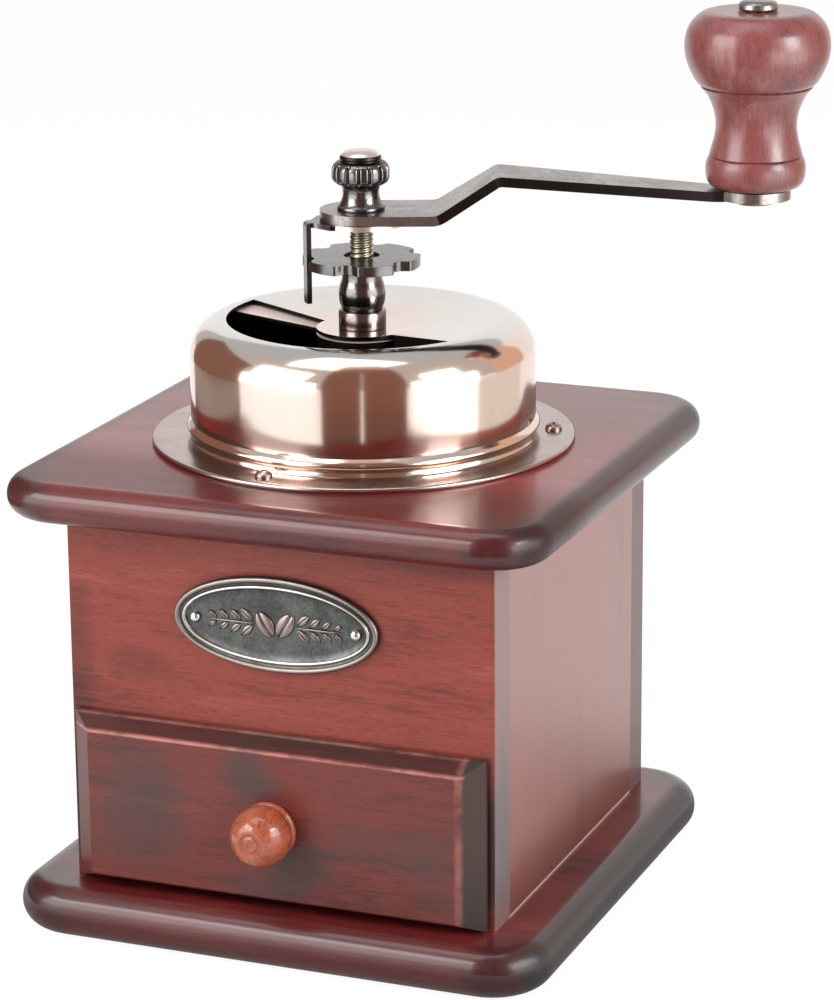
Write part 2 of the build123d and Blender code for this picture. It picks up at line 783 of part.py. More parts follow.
keyed_top = cone_top + face_gap
with BuildPart() as main_shaft:
    with BuildSketch(Plane.XY.offset(shaft_bottom)):
        Circle(thread_radius)
    extrude(amount=thumb_top - 2.0 - shaft_bottom)
    with BuildSketch(Plane.XY.offset(keyed_top)):
        Circle(shaft_radius)
    extrude(amount=bush_top - face_gap - keyed_top)
    with BuildSketch(Plane.XY.offset(cone_bottom)):
        double_d(shaft_radius, shaft_flats)
    extrude(amount=keyed_top - cone_bottom)
    with BuildSketch(Plane.XY.offset(clip_bottom - face_gap)):
        Rectangle(4 * thread_radius, 4 * thread_radius)
        Rectangle(4 * thread_radius, thread_flats, mode=Mode.SUBTRACT)
    extrude(amount=arm_top + face_gap - clip_bottom, mode=Mode.SUBTRACT)
    chamfer(main_shaft.edges().group_by(Axis.Z)[-1], 0.5)

# ===================================================================== crank
notch_depth = disc_radius - (clip_reach - clip_tab_thick)
notch_radius = sqrt((clip_width / 2 + notch_gap) ** 2 + notch_depth**2)
bead_mid = neck_bottom + neck_bead_height / 2
bead_top_z = neck_bottom + neck_bead_height
with BuildPart() as adjuster_nut:
    with BuildSketch(Plane.XZ):
        with BuildLine():
            Line((thread_radius + fit_gap, neck_bottom), (neck_radius, neck_bottom))
            ThreePointArc((neck_radius, neck_bottom), (neck_bead_radius, bead_mid), (neck_radius, bead_top_z))
            Polyline(
                (neck_radius, bead_top_z),
                (neck_radius, disc_bottom - 1.0),
                (neck_radius + 2.0, disc_bottom),
                (disc_radius, disc_bottom),
                (disc_radius, disc_top),
                (neck_radius, disc_top),
                (neck_radius - 0.4, disc_top - 0.6),
                (thread_radius + fit_gap, disc_top - 0.6),
                (thread_radius + fit_gap, neck_bottom),
            )
        make_face()
    revolve(axis=Axis.Z)
    with BuildSketch(Plane.XY.offset(disc_bottom)):
        with PolarLocations(disc_radius, notch_count, notch_start):
            Circle(notch_radius)
    extrude(amount=disc_thick, mode=Mode.SUBTRACT)
    lobe_corners = adjuster_nut.edges().filter_by(Axis.Z).filter_by(lambda e: e.center().Z > disc_bottom)
    fillet(lobe_corners, 1.0)

clip_angle = notch_start + clip_notch * 360 / notch_count
with BuildPart() as lock_clip:
    with BuildSketch(turned_plane(clip_bottom, clip_angle)):
        Circle(clip_eye_radius)
        Polygon(
            (clip_eye_radius * 0.45, clip_eye_radius * 0.85),
            (clip_reach - clip_neck, clip_width / 2),
            (clip_reach, clip_width / 2),
            (clip_reach, -clip_width / 2),
            (clip_reach - clip_neck, -clip_width / 2),
            (clip_eye_radius * 0.45, -clip_eye_radius * 0.85),
            align=None,
        )
    extrude(amount=clip_thick)
    with BuildSketch(turned_plane(arm_bottom, clip_angle)):
        with Locations((clip_reach - clip_tab_thick / 2, 0)):
            Rectangle(clip_tab_thick, clip_width)
    extrude(amount=-clip_tab_length)
    top_edges = lock_clip.edges().group_by(Axis.Z)[-1]
    bend = top_edges.sort_by(lambda edge: (edge.center() - Vector(0, 0, arm_bottom)).length)[-1]
    fillet(bend, clip_bend_radius)
    with BuildSketch(Plane.XY.offset(clip_bottom)):
        double_d(thread_radius + fit_gap, thread_flats + 2 * fit_gap)
    extrude(amount=clip_thick, mode=Mode.SUBTRACT)

arm_level_start = crank_reach - arm_end_radius - arm_level
arm_tip = crank_reach + arm_end_radius + 1.0
rise_angle = atan2(arm_rise, arm_bend_end - arm_bend_start)
fall_angle = -atan2(arm_fall, arm_level_start - arm_bend_end)


def under_bend(place, height, before, after):
    """Corner of the arm's lower face under a bend of its upper face."""
    middle = (before + after) / 2
    depth = arm_thick / cos((after - before) / 2)
    return (place + depth * sin(middle), height - depth * cos(middle))


with BuildPart() as crank_arm:
    with BuildSketch(turned_plane(arm_bottom, crank_angle)):
        Circle(arm_eye_radius)
        Polygon(
            (0, arm_eye_radius),
            (arm_bend_start, arm_eye_radius),
            (arm_bend_end, arm_waist_width / 2),
            (arm_level_start, arm_width / 2),
            (crank_reach, arm_width / 2),
            (crank_reach, -arm_width / 2),
            (arm_level_start, -arm_width / 2),
            (arm_bend_end, -arm_waist_width / 2),
            (arm_bend_start, -arm_eye_radius),
            (0, -arm_eye_radius),
            align=None,
        )
        with Locations((crank_reach, 0)):
            Circle(arm_end_radius)
    extrude(amount=arm_rise + arm_thick)
    with BuildSketch(radial_plane(crank_angle)):
        Polygon(
            (-arm_eye_radius - 1.0, arm_top),
            (arm_bend_start, arm_top),
            (arm_bend_end, bend_top),
            (arm_level_start, outer_arm_top),
            (arm_tip, outer_arm_top),
            (arm_tip, outer_arm_bottom),
            under_bend(arm_level_start, outer_arm_top, fall_angle, 0),
            under_bend(arm_bend_end, bend_top, rise_angle, fall_angle),
            under_bend(arm_bend_start, arm_top, 0, rise_angle),
            (-arm_eye_radius - 1.0, arm_bottom),
            align=None,
        )
    extrude(amount=arm_eye_radius + 1.0, both=True, mode=Mode.INTERSECT)
    with BuildSketch(Plane.XY.offset(arm_bottom)):
        double_d(thread_radius + fit_gap, thread_flats + 2 * fit_gap)
    extrude(amount=arm_thick, mode=Mode.SUBTRACT)
    with BuildSketch(turned_plane(outer_arm_bottom, crank_angle)):
        with Locations((crank_reach, 0)):
            Circle(pin_radius + fit_gap)
    extrude(amount=arm_thick, mode=Mode.SUBTRACT)

thumb_grip_low = arm_top + thumb_grip_bottom
thumb_grip_high = thumb_grip_low + thumb_grip_height
with BuildPart() as thumb_nut:
    with BuildSketch(Plane.XZ):
        with BuildLine():
            Polyline(
                (0, thumb_top),
                (0, thumb_top - 1.5),
                (thread_radius + fit_gap, thumb_top - 1.5),
                (thread_radius + fit_gap, arm_top),
                (thumb_foot_radius, arm_top),
                (thumb_foot_radius, arm_top + 0.6),
            )
            Spline(
                (thumb_foot_radius, arm_top + 0.6),
                (thumb_waist_radius + 0.5, arm_top + 2.2),
                (thumb_waist_radius, arm_top + 4.0),
                (thumb_waist_radius + 0.9, thumb_grip_low),
            )
            ThreePointArc(
                (thumb_waist_radius + 0.9, thumb_grip_low),
                (thumb_radius, (thumb_grip_low + thumb_grip_high) / 2),
                (thumb_ring_radius + 0.3, thumb_grip_high),
            )
            Polyline(
                (thumb_ring_radius + 0.3, thumb_grip_high),
                (thumb_ring_radius - 0.5, thumb_grip_high + 0.4),
                (thumb_ring_radius, thumb_grip_high + 0.9),
            )
            ThreePointArc(
                (thumb_ring_radius, thumb_grip_high + 0.9),
                (thumb_ring_radius - 0.75, thumb_top - 0.8),
                (thumb_cap_radius, thumb_top - 0.15),
            )
            Line((thumb_cap_radius, thumb_top - 0.15), (0, thumb_top))
        make_face()
    revolve(axis=Axis.Z)
    with BuildSketch(Plane.XY.offset(thumb_grip_low - 0.2)):
        with PolarLocations(thumb_radius + 0.1, knurl_count):
            Circle(knurl_radius)
    extrude(amount=thumb_grip_height + 0.4, mode=Mode.SUBTRACT)

# The grip is turned: a round head over a groove, a waist, a second groove and a foot bead.
grip_x = crank_reach * cos(radians(crank_angle))
grip_y = crank_reach * sin(radians(crank_angle))
grip_axis = Axis((grip_x, grip_y, 0), (0, 0, 1))
grip_plane = Plane((grip_x, grip_y, grip_bottom), x_dir=(1, 0, 0), z_dir=(0, -1, 0))
foot_edge = grip_foot_radius - grip_groove
waist_start = grip_foot_height + grip_groove_width
waist_edge = foot_edge - grip_groove / 4
head_start = grip_shoulder_height + grip_groove_width
head_edge = grip_shoulder_radius + grip_groove
head_rise = grip_widest_height - head_start
head_swell = grip_radius - head_edge
head_fall = grip_height - grip_widest_height
head_shrink = grip_radius - grip_top_radius
with BuildPart() as handle_grip:
    with BuildSketch(grip_plane):
        with BuildLine():
            Line((pin_radius + pin_gap, 0), (grip_base_radius, 0))
            Spline(
                (grip_base_radius, 0),
                (grip_foot_radius * 0.94, grip_foot_bulge * 0.42),
                (grip_foot_radius, grip_foot_bulge),
                (foot_edge, grip_foot_height),
                tangents=((1, 0.35), (-0.6, 1)),
            )
            Polyline(
                (foot_edge, grip_foot_height),
                (foot_edge - grip_groove, grip_foot_height + grip_groove_width / 2),
                (waist_edge, waist_start),
            )
            Spline(
                (waist_edge, waist_start),
                (grip_waist_radius * 1.07, (waist_start + grip_waist_height) / 2),
                (grip_waist_radius, grip_waist_height),
                (grip_waist_radius * 1.16, grip_shoulder_height - grip_groove * 6),
                (grip_shoulder_radius, grip_shoulder_height),
                tangents=((-0.4, 1), (0.6, 1)),
            )
            Polyline(
                (grip_shoulder_radius, grip_shoulder_height),
                (grip_shoulder_radius - grip_groove, grip_shoulder_height + grip_groove_width / 2),
                (head_edge, head_start),
            )
            Spline(
                (head_edge, head_start),
                (head_edge + head_swell * 0.54, head_start + head_rise * 0.32),
                (head_edge + head_swell * 0.91, head_start + head_rise * 0.68),
                (grip_radius, grip_widest_height),
                (grip_radius - head_shrink * 0.14, grip_widest_height + head_fall * 0.56),
                (grip_radius - head_shrink * 0.42, grip_widest_height + head_fall * 0.83),
                (grip_top_radius, grip_height),
                tangents=((0.7, 1), (-1, 0.12)),
            )
            Polyline(
                (grip_top_radius, grip_height),
                (pin_radius + pin_gap, grip_height),
                (pin_radius + pin_gap, 0),
            )
        make_face()
    revolve(axis=grip_axis)

# The pin is riveted under the arm and headed above the grip, which turns on it.
pin_head_bottom = grip_top + grip_lift
with BuildPart() as handle_pin:
    with BuildSketch(Plane((grip_x, grip_y, 0), x_dir=(1, 0, 0), z_dir=(0, -1, 0))):
        with BuildLine():
            Polyline(
                (0, pin_head_bottom + pin_head_height),
                (0, outer_arm_bottom - rivet_height),
                (rivet_radius - 1.0, outer_arm_bottom - rivet_height),
                (rivet_radius, outer_arm_bottom - 0.3),
                (rivet_radius, outer_arm_bottom),
                (pin_radius, outer_arm_bottom),
                (pin_radius, pin_head_bottom),
                (pin_head_radius, pin_head_bottom),
                (pin_head_radius, pin_head_bottom + pin_head_height - 0.6),
                (pin_head_radius - 0.6, pin_head_bottom + pin_head_height),
                close=True,
            )
        make_face()
    revolve(axis=grip_axis)

# ==================================================================== export
pieces = {
    "base_board": base_board,
    "top_board": top_board,
    **side_panels,
    "front_panel": front_panel,
    "back_panel": back_panel,
    "dowels": dowels,
    "base_screws": base_screws,
    "drawer_front": drawer_front,
    **drawer_sides,
    "drawer_back": drawer_back,
    "drawer_bottom": drawer_bottom,
    "drawer_knob": drawer_knob,
    "knob_screw": knob_screw,
    "nameplate": nameplate,
    "nameplate_pins": nameplate_pins,
    "flange_ring": flange_ring,
    "flange_screws": flange_screws,
    "hopper_dome": hopper_dome,
    "shutter": shutter,
    "hub_bush": hub_bush,
    "shutter_washer": shutter_washer,
    "bush_nut": bush_nut,
    "burr_housing": burr_housing,
    "ring_burr": ring_burr,
    "cone_burr": cone_burr,
    "burr_washer": burr_washer,
    "burr_nut": burr_nut,
    "burr_spring": burr_spring,
    "main_shaft": main_shaft,
    "adjuster_nut": adjuster_nut,
    "lock_clip": lock_clip,
    "crank_arm": crank_arm,
    "thumb_nut": thumb_nut,
    "handle_pin": handle_pin,
    "handle_grip": handle_grip,
}
for name, piece in pieces.items():
    piece.part.label = name
    export_step(piece.part, f"parts/{name}.step")
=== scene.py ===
import logging
from dataclasses import dataclass
from enum import Enum
from math import atan2, cos, degrees, hypot, pi, radians, sin, sqrt, tan
from typing import Sequence

import bmesh
import bpy
from mathutils import Matrix, Vector


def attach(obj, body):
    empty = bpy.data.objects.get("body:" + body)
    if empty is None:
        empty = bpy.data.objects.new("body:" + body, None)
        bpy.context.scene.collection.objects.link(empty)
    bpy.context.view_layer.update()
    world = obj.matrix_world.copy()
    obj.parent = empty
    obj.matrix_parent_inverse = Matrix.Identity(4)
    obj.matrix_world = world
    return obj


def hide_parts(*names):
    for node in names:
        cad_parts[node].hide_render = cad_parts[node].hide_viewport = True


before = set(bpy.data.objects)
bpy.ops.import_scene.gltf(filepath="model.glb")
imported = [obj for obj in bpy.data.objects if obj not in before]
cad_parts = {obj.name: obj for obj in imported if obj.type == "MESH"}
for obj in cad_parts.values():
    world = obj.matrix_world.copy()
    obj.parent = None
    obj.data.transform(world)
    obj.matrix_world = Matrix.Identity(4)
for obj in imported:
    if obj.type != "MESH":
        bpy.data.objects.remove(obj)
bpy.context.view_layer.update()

LOG = logging.getLogger("mill")
MM = 0.001
MERGE = 1e-3  # millimetres between vertices that become one
BLACK = (0.0, 0.0, 0.0)
WHITE = (1.0, 1.0, 1.0)
FIBRE_RATIO = 0.09  # pattern's scale along the fibres over its scale across them
TONE_STOPS = (0.16, 0.47, 0.56, 0.86)  # places of the stain's dark, middle, middle and light
TIP_START, TIP_END = 1.78, 1.86  # a round corner's |x| + |y| over the edge's distance
FOOT_HIGHLIGHT = (0.80, 0.50, 0.42)  # painted highlight: light line where a wall meets the base
LAMP_AIM = Vector((0, 0, 0.11))
LAMP_REACH = 1.0
CARD_FOOT = -0.05
DIMMED = (1.0, 2.0)  # reflections of reflections, from the first to the second
CARD_LOSS = 0.55  # share of a card's light that those lose
ROOM_LEFT = 0.4  # share of the floor's and the sky's light that stays in those
FLOOR_SHADOW = (50.0, 150.0, 0.22, 1.0)  # painted shadow: band round the mill in which the floor gets dark in reflections, and how dark

Profile = Sequence[tuple[float, float]]
Colour = tuple[float, float, float]


class Body(Enum):
    """Rigid bodies of the mill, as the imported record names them."""

    CABINET = "cabinet"
    DRAWER = "drawer"
    SHUTTER = "shutter_leaf"
    CRANK = "crank"
    GRIP = "grip"


class Grain(Enum):
    """Direction in which a wooden piece's fibres run."""

    ACROSS = "X"
    DEEP = "Y"
    UPRIGHT = "Z"


# ---------------------------------------------------------------- shader helpers


class Wire:
    """One shader value or vector, with arithmetic that adds nodes to its tree."""

    def __init__(self, tree: "Tree", socket: bpy.types.NodeSocket) -> None:
        """Keep the tree and the socket that carries the value."""
        self.tree = tree
        self.socket = socket

    def _math(self, operation: str, other: object = None) -> "Wire":
        """Add one Math node that begins with this value.

        Args:
            operation: The node's operation.
            other: Its second value, a number or a wire, or None.

        Returns:
            The node's result.
        """
        values = {0: self} if other is None else {0: self, 1: other}
        return self.tree.node("ShaderNodeMath", {"operation": operation}, values)

    def __add__(self, other: object) -> "Wire":
        """Sum."""
        return self._math("ADD", other)

    def __sub__(self, other: object) -> "Wire":
        """Difference."""
        return self._math("SUBTRACT", other)

    def __mul__(self, other: object) -> "Wire":
        """Product."""
        return self._math("MULTIPLY", other)

    def __abs__(self) -> "Wire":
        """Absolute value."""
        return self._math("ABSOLUTE")

    def larger(self, other: object) -> "Wire":
        """Larger of two values."""
        return self._math("MAXIMUM", other)

    def root(self) -> "Wire":
        """Square root."""
        return self._math("SQRT")

    def band(self, low: float, high: float, start: float = 0.0, end: float = 1.0) -> "Wire":
        """Smooth step from one value to another.

        Args:
            low: Input at which the step begins.
            high: Input at which it ends.
            start: Result below low.
            end: Result above high.

        Returns:
            The stepped value.
        """
        return self.tree.node(
            "ShaderNodeMapRange",
            {"interpolation_type": "SMOOTHSTEP", "clamp": True},
            {0: self, 1: low, 2: high, 3: start, 4: end},
        )


class Tree:
    """Node tree of one material or of the world, with one method that adds any node."""

    def __init__(self, owner: bpy.types.Material | bpy.types.World) -> None:
        """Switch the owner's nodes on and empty its tree."""
        owner.use_nodes = True
        self.owner = owner
        self.nodes, self.links = owner.node_tree.nodes, owner.node_tree.links
        self.nodes.clear()

    def node(
        self,
        kind: str,
        settings: dict[str, object] | None = None,
        inputs: dict[object, object] | None = None,
        output: int = 0,
    ) -> Wire:
        """Add a node, set it and connect it.

        Args:
            kind: The node's type.
            settings: Its own settings, set first. "stops" fills a colour ramp.
            inputs: Values or wires for its sockets, by index or name.
            output: Which output is wanted.

        Returns:
            That output as a wire.
        """
        made = self.nodes.new(kind)
        for key, value in (settings or {}).items():
            if key == "stops":
                ramp = made.color_ramp
                while len(ramp.elements) < len(value):
                    ramp.elements.new(0.5)
                for element, (place, colour) in zip(ramp.elements, value):
                    element.position = place
                    element.color = (*colour, 1.0)
            else:
                setattr(made, key, value)
        for key, value in (inputs or {}).items():
            socket = made.inputs[key]
            if isinstance(value, Wire):
                self.links.new(value.socket, socket)
            elif isinstance(value, tuple) and len(value) == 3 and socket.type == "RGBA":
                socket.default_value = (*value, 1.0)
            else:
                socket.default_value = value
        return Wire(self, made.outputs[output])

    def outputs(
        self, kind: str, *names: str | int, inputs: dict[object, object] | None = None
    ) -> tuple[Wire, ...]:
        """Add a node of which several outputs are wanted.

        Args:
            kind: The node's type.
            names: The outputs, by index or name.
            inputs: Values or wires for its sockets.

        Returns:
            Those outputs as wires.
        """
        made = self.node(kind, inputs=inputs).socket.node
        return tuple(Wire(self, made.outputs[name]) for name in names)

    def place(self, scale: Colour = (1, 1, 1), shift: Colour = (0, 0, 0)) -> Wire:
        """Object coordinates in millimetres, stretched and then shifted.

        Args:
            scale: Pattern units per millimetre along each axis.
            shift: Shift in pattern units.

        Returns:
            The coordinates.
        """
        coords = self.node("ShaderNodeTexCoord", output=3)
        return self.node(
            "ShaderNodeMapping",
            inputs={"Vector": coords, "Scale": tuple(s / MM for s in scale), "Location": shift},
        )

    def axes(self) -> tuple[Wire, ...]:
        """Object coordinates in millimetres as three values."""
        return self.outputs("ShaderNodeSeparateXYZ", 0, 1, 2, inputs={0: self.place()})

    def noise(
        self, where: Wire, scale: float, detail: float = 2.0, rough: float = 0.5, warp: float = 0.0
    ) -> Wire:
        """Fractal noise from 0 to 1.

        Args:
            where: Coordinates.
            scale: Pattern scale.
            detail: Octaves.
            rough: Strength of the fine octaves.
            warp: Distortion.

        Returns:
            The noise's value.
        """
        inputs = {"Vector": where, "Scale": scale, "Detail": detail, "Roughness": rough, "Distortion": warp}
        return self.node("ShaderNodeTexNoise", inputs=inputs)

    def mix(self, share: object, low: object, high: object) -> Wire:
        """Mix two colours.

        Args:
            share: Share of the second colour.
            low: First colour.
            high: Second colour.

        Returns:
            The mixed colour.
        """
        return self.node("ShaderNodeMix", {"data_type": "RGBA"}, {0: share, 6: low, 7: high}, output=2)

    def ramp(self, value: Wire, stops: Sequence[tuple[float, Colour]]) -> Wire:
        """Colour ramp."""
        return self.node("ShaderNodeValToRGB", {"stops": stops}, {0: value})

    def bump(self, height: Wire, depth: float, strength: float = 1.0) -> Wire:
        """Normal that stands for a fine relief.

        Args:
            height: Relief from 0 to 1.
            depth: Its depth in millimetres.
            strength: Its strength.

        Returns:
            The normal.
        """
        inputs = {"Height": height, "Distance": depth * MM, "Strength": strength}
        return self.node("ShaderNodeBump", inputs=inputs)

    def finish(self, **sockets: object) -> bpy.types.Material:
        """End the tree in a Principled shader.

        Args:
            sockets: Its inputs, with underscores for the spaces in their names.

        Returns:
            The material.
        """
        values = {key.replace("_", " "): value for key, value in sockets.items()}
        self.end(self.node("ShaderNodeBsdfPrincipled", inputs=values))
        return self.owner

    def end(self, shader: Wire) -> None:
        """Connect a shader to the output of the material or the world."""
        kind = "World" if isinstance(self.owner, bpy.types.World) else "Material"
        out = self.nodes.new(f"ShaderNodeOutput{kind}")
        self.links.new(shader.socket, out.inputs["Surface"])


def new_tree(name: str) -> Tree:
    """Tree of a new material of that name."""
    return Tree(bpy.data.materials.new(name))


# --------------------------------------------------------------------- finishes


@dataclass(frozen=True)
class StainedWood:
    """Reddish stained and lacquered wood with fine pores and cloudy stain."""

    name: str
    grain: Grain = Grain.ACROSS
    dark: Colour = (0.060, 0.012, 0.010)
    middle: Colour = (0.300, 0.058, 0.042)
    light: Colour = (0.430, 0.120, 0.085)
    figure: float = 0.055
    cloud: float = 0.022
    coat: float = 0.25
    coat_rough: float = 0.16
    shine: float = 0.3
    rough: float = 0.38
    contrast: float = 1.0
    seed: float = 0.0
    edge_start: float = 0.0
    edge_end: float = 0.0
    end_face: float = 0.0
    end_tone: Colour = (0.235, 0.190, 0.190)
    end_share: float = 0.62
    end_soft: float = 0.05
    end_matte: float = 0.0
    height_start: float = 0.0
    height_end: float = 0.0
    pore: float = 0.42
    warp: float = 1.2
    foot_line: float = 0.0
    front_shade: float = 0.0
    stains_and_shadows: tuple[tuple[float, float, float, float, float], ...] = ()
    stain_and_shadow_tone: Colour = (0.060, 0.042, 0.040)
    field: tuple[float, float, float] = (0.0, 0.0, 0.0)
    bevel_tone: Colour = (0.040, 0.030, 0.027)
    wear_and_highlight: Colour = (0.62, 0.24, 0.20)
    wear_and_highlight_line: float = 50.8

    def paint(self) -> bpy.types.Material:
        """Make the wood's material.

        Returns:
            The material.
        """
        tree = new_tree(self.name)
        stretch = tuple(FIBRE_RATIO if axis == self.grain.value else 1.0 for axis in "XYZ")
        shift = (self.seed * 3.1, self.seed * 5.7, self.seed * 2.3)
        fibre_place = tree.place(stretch, shift)
        cloud_place = tree.place(tuple(0.35 + 0.65 * s for s in stretch), shift)
        figure = tree.noise(fibre_place, self.figure * 2.2, 5.0, 0.55, self.warp)
        fibre = tree.noise(fibre_place, 1.6, 6.0, 0.66, 0.2)
        pores = tree.noise(fibre_place, 4.5).band(0.57, 0.66)
        cloud = tree.noise(cloud_place, self.cloud, 3.0, 0.55, 0.6)
        spread = (figure - 0.5) * 0.62 + (fibre - 0.5) * 0.70 + (cloud - 0.5) * 0.95
        tones = (self.dark, self.middle, self.middle, self.light)
        colour = tree.ramp(spread * self.contrast + 0.5, list(zip(TONE_STOPS, tones)))
        colour = tree.mix(pores * self.pore, colour, self.dark)
        x, y, z = tree.axes()
        # Dark patches: some are the wood's own stain patches, others are painted shadows in gaps and under
        # overhangs.
        for middle_x, middle_z, reach_x, reach_z, share in self.stains_and_shadows:
            aside = (x - middle_x) * (1 / reach_x)
            up = (z - middle_z) * (1 / reach_z)
            away = (aside * aside + up * up).root() + (figure - 0.5) * 0.9
            colour = tree.mix(away.band(0.25, 1.15, share, 0.0), colour, self.stain_and_shadow_tone)
        if self.edge_end:
            rim = abs(x).larger(abs(y)).band(self.edge_start, self.edge_end) * 0.55
            tips = (abs(x) + abs(y)).band(self.edge_start * TIP_START, self.edge_end * TIP_END) * 0.85
            patches = tree.noise(cloud_place, 0.05).band(0.2, 0.55, 0.75, 1.0)
            colour = tree.mix(rim.larger(tips) * patches, colour, self.dark)
        coat: Wire | float = self.coat
        # At the ends the colour turns to end_tone: the walls' end grain, and on the boards a near-black
        # painted shade.
        if self.end_face:
            ends = abs(x).band(self.end_face - self.end_soft, self.end_face)
            colour = tree.mix(ends * self.end_share, colour, self.end_tone)
            coat = ends * (-self.coat * self.end_matte) + coat
        # Painted shade: darker towards the bottom of the walls, next to the base.
        if self.height_end:
            low = z.band(self.height_start, self.height_end, 1.0, 0.0)
            colour = tree.mix(low * 0.55, colour, self.dark)
        # Painted highlight: a light line along the foot of the wall, where it meets the base.
        if self.foot_line:
            foot = z.band(self.foot_line, self.foot_line + 0.15, 0.75, 0.0)
            colour = tree.mix(foot, colour, FOOT_HIGHLIGHT)
        # Painted shade: the top face turns darker towards the front, with less coat.
        if self.front_shade:
            ahead = y * -1
            front = ahead.band(20.0, 42.0) * ahead.band(57.0, 60.0, 1.0, 0.0) * self.front_shade
            colour = tree.mix(front, colour, self.dark)
            coat = front * -self.coat + coat
        if self.field[0]:
            colour = self.bevelled(tree, colour, x, z)
        return tree.finish(
            Base_Color=colour,
            Roughness=fibre * 0.16 + cloud * 0.10 + (self.rough - 0.12),
            Coat_Weight=coat,
            Coat_Roughness=self.coat_rough,
            Specular_IOR_Level=self.shine,
            Normal=tree.bump(fibre * 0.7 - pores * 0.3, 0.05, 0.6),
        )

    def bevelled(self, tree: Tree, colour: Wire, x: Wire, z: Wire) -> Wire:
        """Darken the bevels round a raised field as painted shade, and lighten their edges as wear and
        painted highlight.

        Args:
            tree: The material's tree.
            colour: The wood's colour.
            x: Place across the front.
            z: Height.

        Returns:
            The colour with its bevels.
        """
        half, middle, rise = self.field
        right = x - half
        over = z - (middle + rise)
        out = (abs(x) - half).larger(abs(z - middle) - rise)
        # Painted shade: the bevels darker than the field, the right one greyer.
        bevels = ((out, 0.40, self.dark), (over, 0.45, self.dark), (right, 0.78, self.bevel_tone))
        for side, share, tone in bevels:
            colour = tree.mix(side.band(0.2, 0.6, 0.0, share), colour, tone)
        # Light edge lines: partly wear, partly painted highlight.
        patchy = tree.noise(tree.place(), 0.10, 4.0, 0.65).band(0.34, 0.62, 0.15, 1.0)
        line = abs(over).band(0.10, 0.60, 0.60, 0.0).larger(abs(right).band(0.2, 1.3, 0.26, 0.0))
        line = line.larger(abs(z - self.wear_and_highlight_line).band(0.05, 0.35, 0.35, 0.0))
        inside = x.band(half + 0.5, half + 1.5, 1.0, 0.0) * out.band(2.95, 3.1, 1.0, 0.6)
        return tree.mix(line * patchy * inside, colour, self.wear_and_highlight)


@dataclass(frozen=True)
class BareWood:
    """Pale unfinished wood of the drawer's box."""

    name: str
    tone: Colour = (0.50, 0.33, 0.19)

    def paint(self) -> bpy.types.Material:
        """Make the bare wood's material.

        Returns:
            The material.
        """
        tree = new_tree(self.name)
        place = tree.place((1.0, 0.08, 1.0))
        fibre = tree.noise(place, 1.2, 5.0, 0.6, 0.3)
        figure = tree.noise(place, 0.14, 3.0, 0.5, 1.0)
        dark, light = (tuple(min(1.0, c * gain) for c in self.tone) for gain in (0.55, 1.35))
        return tree.finish(
            Base_Color=tree.mix(fibre * 0.5 + figure * 0.5, dark, light),
            Roughness=fibre * 0.2 + 0.55,
            Normal=tree.bump(fibre, 0.06, 0.6),
        )


@dataclass(frozen=True)
class TurnedMetal:
    """Plated metal that was brushed while it turned about an upright axis."""

    name: str
    base: Colour
    tarnish: Colour
    rough: float = 0.22
    stretch: float = 0.0
    tarnish_share: float = 0.3
    lines: float = 3.0
    crown: Colour = BLACK
    crown_low: float = 0.0
    crown_high: float = 0.0
    metallic: float = 1.0

    def paint(self) -> bpy.types.Material:
        """Make the metal's material.

        Returns:
            The material.
        """
        tree = new_tree(self.name)
        x, y, z = tree.axes()
        turned = tree.node("ShaderNodeCombineXYZ", inputs={0: (x * x + y * y).root(), 2: z})
        brush = tree.noise(turned, self.lines, 4.0, 0.7)
        cloud = tree.noise(tree.place(), 0.07, 4.0, 0.6, 0.4)
        grime = tree.noise(tree.place(), 0.9, 5.0, 0.7)
        mask = (cloud * 0.6 + grime * 0.4).band(0.42, 0.68) * self.tarnish_share
        colour = self.base
        # Painted reflection: the crown turns greyer, standing for the washed-out reflection on the dome's
        # top.
        if self.crown_high:
            colour = tree.mix(z.band(self.crown_low, self.crown_high), self.base, self.crown)
        colour = tree.mix(mask, colour, self.tarnish)
        return tree.finish(
            Base_Color=colour,
            Metallic=self.metallic,
            Roughness=brush * 0.10 + mask * 0.12 + (self.rough - 0.05),
            Anisotropic=self.stretch,
            Anisotropic_Rotation=0.25,
            Normal=tree.bump(brush, 0.01, 0.25),
        )


@dataclass(frozen=True)
class Metal:
    """Plated or cast metal with small clouds, grime and a fine grain."""

    name: str
    base: Colour
    dirt: Colour
    rough: float = 0.35
    grain: float = 2.5
    depth: float = 0.02
    share: float = 0.5
    cloud: float = 0.12
    high: Colour = BLACK
    high_start: float = 0.0
    high_end: float = 0.0

    def paint(self) -> bpy.types.Material:
        """Make the metal's material.

        Returns:
            The material.
        """
        tree = new_tree(self.name)
        place = tree.place()
        cloud = tree.noise(place, self.cloud, 4.0, 0.6, 0.5)
        grit = tree.noise(place, self.grain, 4.0, 0.65)
        mask = (cloud * 0.55 + grit * 0.45).band(0.34, 0.66) * self.share
        colour = tree.mix(mask, self.base, self.dirt)
        if self.high_end:
            front = tree.axes()[1] * -1.0
            colour = tree.mix(front.band(self.high_start, self.high_end), colour, self.high)
        return tree.finish(
            Base_Color=colour,
            Metallic=1.0,
            Roughness=grit * 0.14 + mask * 0.12 + (self.rough - 0.08),
            Normal=tree.bump(grit, self.depth, 0.5),
        )


# ----------------------------------------------------------------- mesh helpers


